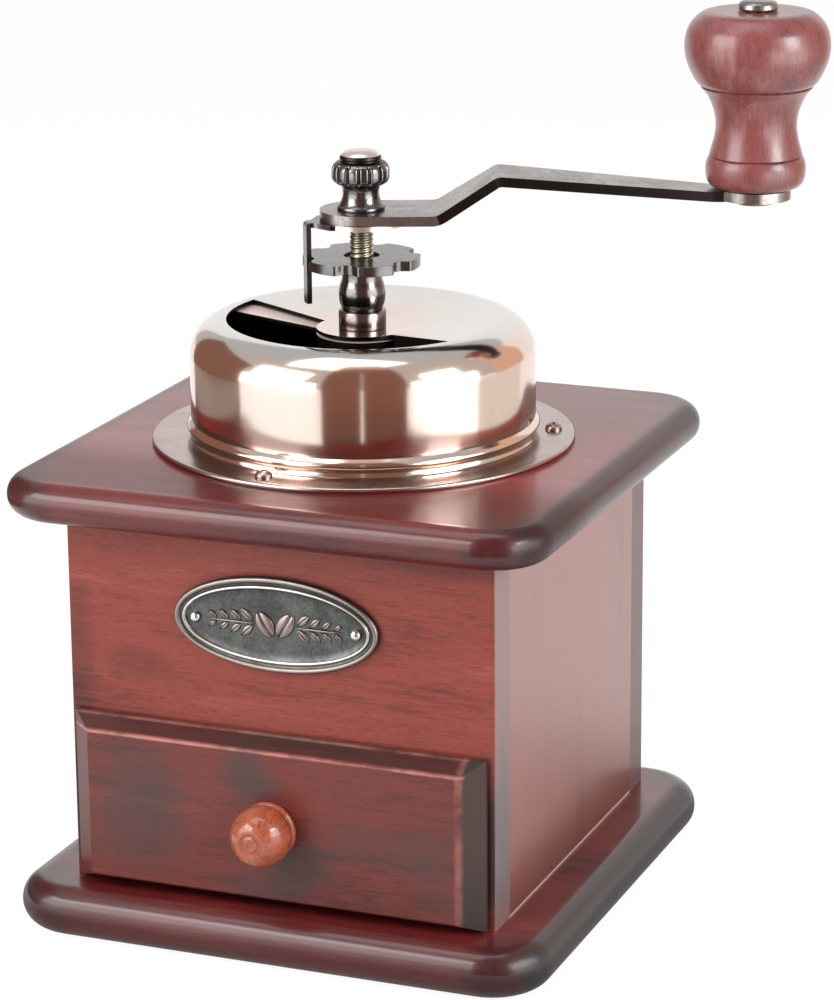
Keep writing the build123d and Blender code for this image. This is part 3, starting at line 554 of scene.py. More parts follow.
def smooth_line(points: Profile, steps: int = 4) -> list[tuple[float, float]]:
    """Pass a smooth curve through a profile's points.

    Args:
        points: The profile's points.
        steps: Pieces between two points.

    Returns:
        The finer profile.
    """
    pts = [Vector(p) for p in points]
    pts = [pts[0] * 2 - pts[1], *pts, pts[-1] * 2 - pts[-2]]
    line = []
    for a, b, c, d in zip(pts, pts[1:], pts[2:], pts[3:]):
        for step in range(steps):
            t = step / steps
            bend = (2 * a - 5 * b + 4 * c - d) * t * t + (3 * b - a - 3 * c + d) * t**3
            point = 0.5 * (2 * b + (c - a) * t + bend)
            line.append((point.x, point.y))
    line.append(tuple(pts[-2]))
    return line


def arc(
    centre: tuple[float, float], radius: float, start: float, end: float, steps: int
) -> list[tuple[float, float]]:
    """Points on an arc of a profile, angles in degrees."""
    turns = [radians(start + (end - start) * i / steps) for i in range(steps + 1)]
    return [(centre[0] + radius * cos(t), centre[1] + radius * sin(t)) for t in turns]


def spin_line(
    bm: bmesh.types.BMesh, profile: Profile, start: float, sweep: float, steps: int, closed: bool = False
) -> None:
    """Turn a profile about the upright axis inside a bmesh.

    Args:
        bm: The bmesh.
        profile: Radius and height of each point.
        start: First angle in degrees.
        sweep: Turn in degrees.
        steps: Steps of the turn.
        closed: True if the profile's last point joins its first.
    """
    a = radians(start)
    verts = [bm.verts.new((r * cos(a), r * sin(a), z)) for r, z in profile]
    edges = [bm.edges.new(pair) for pair in zip(verts, verts[1:])]
    if closed:
        edges.append(bm.edges.new((verts[-1], verts[0])))
    bmesh.ops.spin(
        bm,
        geom=verts + edges,
        cent=(0, 0, 0),
        axis=(0, 0, 1),
        angle=radians(sweep),
        steps=steps,
        use_merge=sweep >= 360,
    )


def clean(bm: bmesh.types.BMesh, gap: float = 1e-4) -> None:
    """Merge doubles and turn the faces outwards."""
    bmesh.ops.remove_doubles(bm, verts=bm.verts, dist=gap)
    bmesh.ops.dissolve_degenerate(bm, edges=bm.edges, dist=gap)
    bmesh.ops.recalc_face_normals(bm, faces=bm.faces)


def lathe(profile: Profile, steps: int = 72, closed: bool = False) -> bmesh.types.BMesh:
    """Turned solid about the upright axis.

    Args:
        profile: Radius and height of each point, from one end on the axis to the other, or a loop.
        steps: Steps round the axis.
        closed: True for a loop.

    Returns:
        The bmesh, in millimetres.
    """
    bm = bmesh.new()
    spin_line(bm, profile, 0, 360, steps, closed)
    clean(bm)
    return bm


def verts_in(geom: Sequence[object]) -> list[bmesh.types.BMVert]:
    """Vertices among the parts that an operator returned."""
    return [part for part in geom if isinstance(part, bmesh.types.BMVert)]


def edges_at(verts: Sequence[bmesh.types.BMVert]) -> list[bmesh.types.BMEdge]:
    """Edges that touch the vertices."""
    return list({edge for vert in verts for edge in vert.link_edges})


def bevel(bm: bmesh.types.BMesh, geom: list[object], affect: str, offset: float, segments: int) -> None:
    """Round edges or vertices.

    Args:
        bm: The bmesh.
        geom: What is rounded.
        affect: "EDGES" or "VERTICES".
        offset: Width of the round in millimetres.
        segments: Faces across it.
    """
    bmesh.ops.bevel(
        bm, geom=geom, affect=affect, offset=offset, offset_type="OFFSET", segments=segments, profile=0.5,
        material=-1,
    )


def raise_faces(bm: bmesh.types.BMesh, height: float) -> None:
    """Extrude all the faces upwards to a solid."""
    grown = bmesh.ops.extrude_face_region(bm, geom=bm.faces[:])["geom"]
    bmesh.ops.translate(bm, vec=(0, 0, height), verts=verts_in(grown))
    bmesh.ops.recalc_face_normals(bm, faces=bm.faces)


def face_up(bm: bmesh.types.BMesh) -> None:
    """Turn a sheet's faces to one side, with its upper side out."""
    bmesh.ops.recalc_face_normals(bm, faces=bm.faces)
    if sum(face.normal.z * face.calc_area() for face in bm.faces) < 0:
        bmesh.ops.reverse_faces(bm, faces=bm.faces)


def thicken(bm: bmesh.types.BMesh, thick: float) -> None:
    """Make a sheet solid below its outer side."""
    bmesh.ops.solidify(bm, geom=bm.faces[:], thickness=thick)
    bmesh.ops.recalc_face_normals(bm, faces=bm.faces)


def move(bm: bmesh.types.BMesh, matrix: Matrix) -> None:
    """Move a shape by a matrix."""
    bmesh.ops.transform(bm, matrix=matrix, verts=bm.verts)


def to_front(depth: float, height: float) -> Matrix:
    """Matrix that turns a lying shape's top to the front, at a place on the Y and Z axes."""
    return Matrix.Translation((0, depth, height)) @ Matrix.Rotation(pi / 2, 4, "X")


def join(bm: bmesh.types.BMesh, other: bmesh.types.BMesh, matrix: Matrix | None = None) -> None:
    """Move another bmesh's shape into this one.

    Args:
        bm: The bmesh that takes the shape.
        other: The bmesh that gives it, which is freed.
        matrix: Where it goes.
    """
    if matrix is not None:
        move(other, matrix)
    spare = bpy.data.meshes.new("spare")
    other.to_mesh(spare)
    other.free()
    bm.from_mesh(spare)
    bpy.data.meshes.remove(spare)


def strap(stations: Sequence[tuple[float, float, float]], thick: float, rows: int) -> bmesh.types.BMesh:
    """Flat bar along X that follows its stations.

    Args:
        stations: Place, height of the upper face and half width at each station.
        thick: Thickness below the upper face.
        rows: Faces across the bar.

    Returns:
        The bmesh, in millimetres.
    """
    bm = bmesh.new()
    bmesh.ops.create_grid(bm, x_segments=len(stations) - 1, y_segments=rows, size=1.0)
    last = len(stations) - 1
    for vert in bm.verts:
        x, z, half = stations[round((vert.co.x + 1) / 2 * last)]
        vert.co = Vector((x, vert.co.y * half, z))
    clean(bm, MERGE)
    face_up(bm)
    thicken(bm, thick)
    return bm


def weighted(obj: bpy.types.Object) -> None:
    """Keep flat faces flat beside rounded edges."""
    modifier = obj.modifiers.new("flat_faces", "WEIGHTED_NORMAL")
    modifier.keep_sharp = True


def rounded(obj: bpy.types.Object, width: float, segments: int = 2, angle: float = 50.0) -> None:
    """Round a piece's sharp edges.

    Args:
        obj: The piece.
        width: Width of the round in millimetres.
        segments: Faces across it.
        angle: Edges sharper than this are rounded, in degrees.
    """
    modifier = obj.modifiers.new("edge_round", "BEVEL")
    modifier.width = width * MM
    modifier.segments = segments
    modifier.limit_method = "ANGLE"
    modifier.angle_limit = radians(angle)


@dataclass
class Piece:
    """One visible piece: its mesh, finish, body and the solid it stands for."""

    name: str
    body: Body
    slot: str
    node: str
    crease: float = 40.0

    def place(self, bm: bmesh.types.BMesh, *materials: bpy.types.Material) -> bpy.types.Object:
        """Turn a bmesh in millimetres into the finished piece.

        Args:
            bm: The shape, which is freed.
            materials: Its finishes, in the order of its faces' slots.

        Returns:
            The object, at the origin.
        """
        bmesh.ops.scale(bm, vec=(MM, MM, MM), verts=bm.verts)
        for face in bm.faces:
            face.smooth = True
        limit = radians(self.crease)
        for edge in bm.edges:
            edge.smooth = len(edge.link_faces) == 2 and edge.calc_face_angle(0.0) < limit
        mesh = bpy.data.meshes.new(self.name)
        bm.to_mesh(mesh)
        bm.free()
        for material in materials:
            mesh.materials.append(material)
        obj = bpy.data.objects.new(self.name, mesh)
        bpy.context.scene.collection.objects.link(obj)
        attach(obj, self.body.value)
        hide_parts(self.node)
        LOG.info("%s: %d faces on %s", self.name, len(mesh.polygons), self.body.value)
        return obj


def dress(material: bpy.types.Material, *names: str) -> None:
    """Give CAD nodes a finish.

    Args:
        material: The finish.
        names: The nodes.
    """
    for name in names:
        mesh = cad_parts[name].data
        if not mesh.materials:
            mesh.materials.append(material)
        for index in range(len(mesh.materials)):
            mesh.materials[index] = material
        LOG.info("%s keeps its solid", name)


# ----------------------------------------------------------------- sub-assemblies


@dataclass
class Cabinet:
    """Two round-edged boards and the four walls between them."""

    side: float = 126.0
    corner: float = 14.0
    base_thick: float = 11.5
    top_low: float = 96.0
    top_thick: float = 9.0
    rim_seat: float = 39.2
    rim_depth: float = 2.0
    hole: float = 35.2

    def board(self, low: float, thick: float) -> bmesh.types.BMesh:
        """Square board with round corners and a round edge.

        Args:
            low: Height of its underside.
            thick: Its thickness.

        Returns:
            The bmesh.
        """
        bm = bmesh.new()
        bmesh.ops.create_circle(bm, cap_ends=True, segments=4, radius=self.side / sqrt(2))
        bmesh.ops.rotate(bm, cent=(0, 0, 0), matrix=Matrix.Rotation(pi / 4, 3, "Z"), verts=bm.verts)
        bevel(bm, bm.verts[:], "VERTICES", self.corner, 14)
        bmesh.ops.translate(bm, vec=(0, 0, low), verts=bm.verts)
        raise_faces(bm, thick)
        rims = [edge for edge in bm.edges if abs(edge.verts[0].co.z - edge.verts[1].co.z) < 1e-6]
        bevel(bm, rims, "EDGES", thick / 2 - 0.1, 12)
        return bm

    def pierced_board(self) -> bmesh.types.BMesh:
        """Top board with the stepped hole for the grinding works."""
        bm = self.board(self.top_low, self.top_thick)
        big = sorted(bm.faces, key=lambda face: -face.calc_area())[:2]
        loops = [list(face.edges) for face in sorted(big, key=lambda face: face.calc_center_median().z)]
        bmesh.ops.delete(bm, geom=big, context="FACES_ONLY")
        top = self.top_low + self.top_thick
        steps = [(self.hole, self.top_low), (self.hole, top - self.rim_depth)]
        steps += [(self.rim_seat, top - self.rim_depth), (self.rim_seat, top)]
        rings = []
        for radius, height in steps:
            made = bmesh.ops.create_circle(
                bm, segments=120, radius=radius, matrix=Matrix.Translation((0, 0, height))
            )
            rings.append(edges_at(made["verts"]))
        for low, high in zip([loops[0], *rings], [*rings, loops[1]]):
            bmesh.ops.bridge_loops(bm, edges=low + high)
        bmesh.ops.recalc_face_normals(bm, faces=bm.faces)
        return bm

    def make(self) -> None:
        """Build the boards and dress the walls."""
        # Painted shade on the boards: their ends turn near-black with less coat, and the top board's front
        # is dimmed.
        alike = {"edge_end": 62.0, "pore": 0.3, "end_face": 61.0, "end_soft": 4.0}
        top = StainedWood(
            "board_stain",
            seed=1.0,
            edge_start=55.0,
            dark=(0.022, 0.003, 0.004),
            middle=(0.215, 0.019, 0.016),
            light=(0.340, 0.052, 0.042),
            coat=0.72,
            front_shade=0.52,
            end_tone=(0.026, 0.014, 0.014),
            end_share=0.75,
            end_matte=0.35,
            **alike,
        ).paint()
        base = StainedWood(
            "base_stain",
            seed=4.0,
            edge_start=54.0,
            dark=(0.014, 0.003, 0.004),
            middle=(0.160, 0.017, 0.017),
            light=(0.270, 0.052, 0.047),
            coat=0.9,
            coat_rough=0.17,
            end_tone=(0.020, 0.021, 0.020),
            end_share=0.8,
            end_matte=0.5,
            **alike,
        ).paint()
        shapes = {"base_board": (self.board(0.0, self.base_thick), base)}
        shapes["top_board"] = (self.pierced_board(), top)
        for node, (shape, finish) in shapes.items():
            weighted(Piece(f"{node}_round", Body.CABINET, "board_wood", node, 35).place(shape, finish))
        walls = StainedWood(
            "wall_stain",
            seed=2.0,
            end_face=49.9,
            middle=(0.255, 0.042, 0.026),
            light=(0.365, 0.088, 0.054),
            stain_and_shadow_tone=(0.030, 0.010, 0.009),
            stains_and_shadows=(
                (-34.0, 63.5, 11.0, 5.0, 0.30),
                (-48.0, 66.0, 5.0, 20.0, 0.40),
                # Painted shadows: under the top board and in the gaps beside the drawer.
                (46.0, 93.5, 34.0, 4.0, 0.45),
                (49.6, 30.0, 7.0, 25.0, 1.0),
                (-49.6, 30.0, 7.0, 25.0, 1.0),
            ),
        )
        dress(walls.paint(), "front_panel")
        ends = {"end_face": 49.9, "end_tone": (0.115, 0.085, 0.078), "end_share": 0.85}
        dress(StainedWood("back_stain", seed=9.0, **ends).paint(), "back_panel")
        sides = StainedWood(
            "side_stain",
            Grain.UPRIGHT,
            middle=(0.246, 0.073, 0.053),
            light=(0.342, 0.120, 0.089),
            seed=7.0,
            # Painted shade low on the walls, and a painted highlight line at their foot.
            height_start=8.0,
            height_end=30.0,
            coat=0.88,
            coat_rough=0.20,
            contrast=0.55,
            pore=0.08,
            warp=0.5,
            foot_line=12.0,
        )
        dress(sides.paint(), "left_panel", "right_panel")
        plain = BareWood("bare_wood").paint()
        dress(plain, "dowels", *(f"drawer_{part}" for part in ("left_side", "right_side", "back", "bottom")))


@dataclass
class Drawer:
    """Bevelled drawer front and its turned knob."""

    face: float = -55.6
    knob_height: float = 30.85
    ball: float = 6.8
    stand: float = 5.2
    groove: float = 2.5
    field: tuple[float, float, float] = (43.7, 31.15, 16.85)

    def knob(self) -> bmesh.types.BMesh:
        """Turned knob with a collar, a groove and a ball with a dimpled end.

        Returns:
            The bmesh.
        """
        profile = [(0, 0), (5.6, 0), (5.8, 0.15), (6.2, 0.5), (6.45, 1.0), (6.45, 1.4), (6.2, 1.85)]
        profile += [(5.8, 2.12), (5.5, 2.2), (5.5, 2.38)]
        below = self.groove - self.stand
        start = degrees(atan2(below, sqrt(self.ball**2 - below**2)))
        profile += arc((0, self.stand), self.ball, start, 60, 22)
        tip = profile[-1][1]
        profile += [(3.15, tip + 0.12), (2.6, tip + 0.12), (2.3, tip - 0.18), (1.9, tip - 0.2)]
        profile += [(1.5, tip + 0.05), (0.9, tip + 0.05), (0.6, tip - 0.12), (0, tip - 0.15)]
        bm = lathe(profile)
        move(bm, to_front(self.face, self.knob_height))
        return bm

    def make(self) -> None:
        """Build the knob and dress the drawer."""
        front = StainedWood(
            "drawer_stain",
            seed=12.5,
            cloud=0.030,
            dark=(0.036, 0.012, 0.010),
            middle=(0.155, 0.029, 0.022),
            light=(0.240, 0.057, 0.042),
            contrast=0.95,
            field=self.field,
            stains_and_shadows=(
                (-33.0, 32.0, 14.0, 19.0, 0.60),
                (-26.0, 33.0, 8.0, 15.0, 0.42),
                (-6.0, 43.0, 8.0, 9.0, 0.72),
                (-1.0, 40.0, 6.0, 5.0, 0.40),
                (6.0, 23.0, 11.5, 8.0, 0.66),
                (-2.0, 16.5, 13.0, 5.0, 0.55),
                (26.0, 29.5, 17.0, 6.5, 0.36),
                (38.0, 27.0, 8.0, 12.0, 0.42),
                # Painted shade: the right bevel's lower part, and the shadow of the front panel along the
                # top bevel.
                (47.0, 15.0, 4.0, 14.0, 0.85),
                (4.0, 50.7, 17.0, 0.9, 0.95),
            ),
            stain_and_shadow_tone=(0.052, 0.038, 0.037),
        )
        dress(front.paint(), "drawer_front")
        rounded(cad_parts["drawer_front"], 0.35, 3, 40.0)
        knob = StainedWood(
            "knob_stain",
            Grain.DEEP,
            dark=(0.150, 0.030, 0.011),
            middle=(0.400, 0.095, 0.045),
            light=(0.600, 0.230, 0.120),
            figure=0.10,
            cloud=0.10,
            coat=1.0,
            coat_rough=0.10,
            rough=0.24,
            seed=3.3,
        )
        Piece("knob_turned", Body.DRAWER, "knob_wood", "drawer_knob", 30).place(self.knob(), knob.paint())
        zinc = Metal("zinc_plate", (0.55, 0.55, 0.53), (0.30, 0.29, 0.27))
        dress(zinc.paint(), "knob_screw", "base_screws")


@dataclass
class Nameplate:
    """Oval metal plate with a raised rim, an inner line and a sprig in relief."""

    half_width: float = 24.0
    half_height: float = 10.75
    height: float = 75.8
    wall: float = -50.0
    pin: float = 18.8
    even: float = 6.0

    def oval(self) -> bmesh.types.BMesh:
        """Plate as a stack of ovals, lying flat.

        Returns:
            The bmesh.
        """
        relief = [(0.3, 0.0), (0.0, 0.3), (0.0, 0.9), (0.18, 1.35), (0.45, 1.6), (0.8, 1.66)]
        relief += [(1.1, 1.52), (1.3, 1.15), (1.5, 0.98), (1.85, 0.98), (2.0, 1.2), (2.15, 1.46)]
        relief += [(2.38, 1.54), (2.6, 1.46), (2.75, 1.2), (2.95, 1.02), (4.6, 1.0), (6.5, 1.0), (8.6, 1.0)]
        profile = [(self.half_height - inset, rise) for inset, rise in relief]
        bm = lathe([(0, 0), *profile, (0, 1.0)], 128)
        for face in bm.faces:
            spot = face.calc_center_median()
            inset = self.half_height - spot.xy.length
            face.material_index = int(2.0 < inset < 2.75 and spot.z > 1.15)
        stretch = self.half_width - self.half_height
        for vert in bm.verts:
            radius = vert.co.xy.length
            if radius > 1e-4:
                vert.co.x += vert.co.x / radius * stretch * min(1.0, radius / self.even)
        return bm

    def lens(
        self, length: float, width: float, rise: float, point: float = 0.0, groove: float = 0.0
    ) -> bmesh.types.BMesh:
        """Leaf or bean in low relief, lying along X.

        Args:
            length: Its length.
            width: Its width.
            rise: Its height.
            point: How much its ends are drawn to a point, from 0 to 1.
            groove: Depth of the groove along its middle.

        Returns:
            The bmesh.
        """
        bm = bmesh.new()
        bmesh.ops.create_uvsphere(bm, u_segments=24, v_segments=16, radius=0.5)
        for vert in bm.verts:
            x, y, z = vert.co
            draw = 1.0 - point * (2 * abs(x)) ** 2
            crease = groove * max(0.0, 1 - abs(y * draw) * 9) if z > 0 else 0.0
            curl = 0.05 * sin(x * 5) if groove and not point else 0.0
            vert.co = Vector((x * length, (y * draw + curl) * width, z * 2 * rise - crease))
        return bm

    def sprig(self) -> bmesh.types.BMesh:
        """Two beans between two leafy twigs, lying flat.

        Returns:
            The bmesh.
        """
        bm = bmesh.new()
        for side in (-1, 1):
            bean = Matrix.Translation((side * 2.35, 0.1 * side, 1.1))
            bean = bean @ Matrix.Rotation(radians(58 * side), 4, "Z")
            join(bm, self.lens(6.4, 4.0, 0.75, 0.12, 0.42), bean)
            for index in range(4):
                out = 6.0 + 2.7 * index
                size = 1.0 - 0.13 * index
                for lift in (-1, 1):
                    turn = radians(90 - side * 90 + side * lift * 42)
                    spot = Matrix.Translation((side * (out + 0.6), lift * 1.75 * size, 1.05))
                    leaf = self.lens(4.3 * size, 2.0 * size, 0.5, 0.85, 0.22)
                    join(bm, leaf, spot @ Matrix.Rotation(turn, 4, "Z"))
            join(bm, self.lens(11.5, 0.55, 0.42), Matrix.Translation((side * 10.0, 0, 1.05)))
        return bm

    def make(self) -> None:
        """Build the plate and its two pins."""
        bm = self.oval()
        join(bm, self.sprig())
        upright = to_front(self.wall, self.height)
        move(bm, upright)
        pewter = Metal(
            "plate_pewter",
            (0.150, 0.152, 0.146),
            (0.050, 0.052, 0.050),
            rough=0.36,
            grain=1.4,
            depth=0.04,
            share=0.8,
            high=(0.330, 0.275, 0.250),
            high_start=51.12,
            high_end=51.52,
        )
        line = Metal("plate_line", (0.74, 0.71, 0.66), (0.45, 0.42, 0.38), rough=0.30, share=0.4)
        plate = Piece("nameplate_relief", Body.CABINET, "bronze_hardware", "nameplate", 50)
        plate.place(bm, pewter.paint(), line.paint())
        heads = bmesh.new()
        head = smooth_line([(1.3, 1.3), (1.1, 1.8), (0.7, 2.15), (0.3, 2.3), (0, 2.33)])[::-1]
        for side in (-1, 1):
            shape = lathe(head + [(1.25, 0.8), (0, 0.8)], 32)
            join(heads, shape, Matrix.Translation((side * self.pin, 0, 0)))
        move(heads, upright)
        bright = Metal("pin_bright", (0.92, 0.90, 0.88), (0.50, 0.48, 0.46), rough=0.22, share=0.3)
        pins = Piece("nameplate_pin_heads", Body.CABINET, "bronze_hardware", "nameplate_pins", 50)
        pins.place(heads, bright.paint())


@dataclass
class Hopper:
    """Turned sheet dome with a fan-shaped opening, its flange and the shutter below."""

    flange_low: float = 105.0
    flange_top: float = 106.2
    flange_radius: float = 47.5
    flange_hole: float = 33.5
    wall: float = 38.7
    shoulder: float = 8.0
    crest: float = 132.6
    land: float = 10.3
    dish: float = 2.3
    hole: float = 4.25
    sheet: float = 0.8
    open_start: float = 166.8
    open_arc: float = 163.6
    open_radius: float = 30.4
    stop_in: float = 11.3
    stop_out: float = 29.8
    stop_drop: float = 1.9
    fan_reach: float = 21.1

    def dome_line(self) -> list[tuple[float, float]]:
        """Outer profile of the dome from its foot to the hub's hole.

        Returns:
            Radius and height of each point.
        """
        low = self.flange_top
        line = [(self.wall + 0.15, low), (self.wall - 0.1, low + 0.5), (self.wall - 0.1, low + 1.1)]
        line += [(self.wall + 0.9 * sin(pi * i / 8), low + 1.3 + 2.5 * i / 8) for i in range(1, 8)]
        line += [(self.wall - 0.15, low + 4.0)]
        line += [(self.wall, low + rise) for rise in (4.6, 9, 14)]
        flat = self.wall - self.shoulder
        line += arc((flat, self.crest - self.shoulder), self.shoulder, 0, 90, 16)
        slope = self.dish / (flat - self.land)
        drops = (self.open_radius, self.stop_out, 22.0, self.stop_in, self.land + 0.5)
        line += [(r, self.crest - (flat - r) * slope) for r in drops]
        line += [(radius, self.crest - self.dish) for radius in (self.land, 7.0, self.hole)]
        return line

    def dome(self) -> bmesh.types.BMesh:
        """Sheet of the dome with its opening and the folded stop.

        Returns:
            The bmesh, one face thick.
        """
        bm = bmesh.new()
        line = self.dome_line()
        spin_line(bm, line, self.open_start, self.open_arc, 80)
        spin_line(bm, line, self.open_start + self.open_arc, 360 - self.open_arc, 96)
        bmesh.ops.remove_doubles(bm, verts=bm.verts, dist=MERGE)
        gone = []
        for face in bm.faces:
            centre = face.calc_center_median()
            turn = (degrees(atan2(centre.y, centre.x)) - self.open_start) % 360
            between = self.land < hypot(centre.x, centre.y) < self.open_radius
            if turn < self.open_arc and between and centre.z > 125:
                gone.append(face)
        bmesh.ops.delete(bm, geom=gone, context="FACES")
        face_up(bm)
        end = radians(self.open_start + self.open_arc)
        ray = Vector((cos(end), sin(end), 0))
        folded = []
        for edge in bm.edges:
            spots = [vert.co for vert in edge.verts]
            radii = [spot.xy.length for spot in spots]
            on_ray = all((Vector((s.x, s.y, 0)) - ray * r).length < MERGE for s, r in zip(spots, radii))
            within = min(radii) > self.stop_in - 0.01 and max(radii) < self.stop_out + 0.01
            if edge.is_boundary and on_ray and within:
                folded.append(edge)
        tips = verts_in(bmesh.ops.extrude_edge_only(bm, edges=folded)["geom"])
        bmesh.ops.translate(bm, vec=(0, 0, -self.stop_drop - self.sheet), verts=tips)
        thicken(bm, self.sheet)
        # Inner and cut faces get the second finish, a near-black painted shade.
        for face in bm.faces:
            outwards = (face.calc_center_median() - Vector((0, 0, 110.0))).normalized()
            face.material_index = int(face.normal.dot(outwards) < 0.2)
        return bm

    def shutter(self) -> bmesh.types.BMesh:
        """Ring with a cup round the hub and the dished fan.

        Returns:
            The bmesh.
        """
        bm = bmesh.new()
        top = self.crest - self.dish - self.sheet - 0.5
        slope = self.dish / (self.wall - self.shoulder - self.land)
        ring = [(4.3, top), (7.0, top), (self.land, top)]
        fan = [(self.land + i * self.fan_reach / 6, top + i * self.fan_reach / 6 * slope) for i in range(7)]
        spin_line(bm, ring, 4, 176, 88)
        spin_line(bm, ring, 180, 184, 92)
        spin_line(bm, fan, 4, 176, 88)
        bmesh.ops.remove_doubles(bm, verts=bm.verts, dist=MERGE)
        face_up(bm)
        thicken(bm, self.sheet)
        low = top - self.sheet - 1.6
        cup = [(9.5, low), (self.land, low), (self.land, top - 0.2), (9.5, top - 0.2)]
        join(bm, lathe(cup, closed=True))
        # Faces that do not face up get the second finish, a near-black painted shade.
        for face in bm.faces:
            face.material_index = int(face.normal.z <= 0.5)
        return bm

    def flange(self) -> bmesh.types.BMesh:
        """Flat ring with a rolled edge."""
        out, low, top = self.flange_radius, self.flange_low, self.flange_top
        profile = [(self.flange_hole, low), (out - 0.15, low), (out, low + 0.2)]
        profile += arc((out - 0.6, top - 0.6), 0.6, 10, 90, 5)
        profile += [(radius, top) for radius in (out - 1.2, 44.0, 39.2, self.flange_hole)]
        return lathe(profile, 160, closed=True)

    def make(self) -> None:
        """Build the dome, shutter and flange."""
        copper = TurnedMetal(
            "copper_dome",
            (0.90, 0.72, 0.62),
            (0.62, 0.38, 0.28),
            rough=0.13,
            stretch=0.55,
            tarnish_share=0.10,
            # painted reflection on the dome's top
            crown=(0.80, 0.77, 0.74),
            crown_low=129.5,
            crown_high=132.3,
        ).paint()
        # Painted shade: near-black finish for the dome's inside, its cut edges and the shutter's hidden
        # faces.
        painted_hollow_shade = Metal("hollow_dark", (0.020, 0.014, 0.012), (0.008, 0.006, 0.005), rough=0.55).paint()
        dome = Piece("hopper_dome_sheet", Body.CABINET, "copper_plate", "hopper_dome")
        rounded(dome.place(self.dome(), copper, painted_hollow_shade), 0.16)
        inner = TurnedMetal(
            "copper_shutter", (0.93, 0.76, 0.72), (0.70, 0.48, 0.42), rough=0.35, metallic=0.15
        ).paint()
        shutter = Piece("shutter_fan", Body.SHUTTER, "copper_plate", "shutter")
        rounded(shutter.place(self.shutter(), inner, painted_hollow_shade), 0.12)
        ring = TurnedMetal(
            "copper_flange",
            (0.52, 0.41, 0.38),
            (0.24, 0.15, 0.13),
            rough=0.20,
            stretch=0.2,
            tarnish_share=0.35,
        ).paint()
        flange = Piece("flange_ring_rolled", Body.CABINET, "copper_plate", "flange_ring")
        flange.place(self.flange(), ring)
        pale = Metal("screw_pale", (0.62, 0.50, 0.44), (0.14, 0.09, 0.07), rough=0.26)
        dress(pale.paint(), "flange_screws")


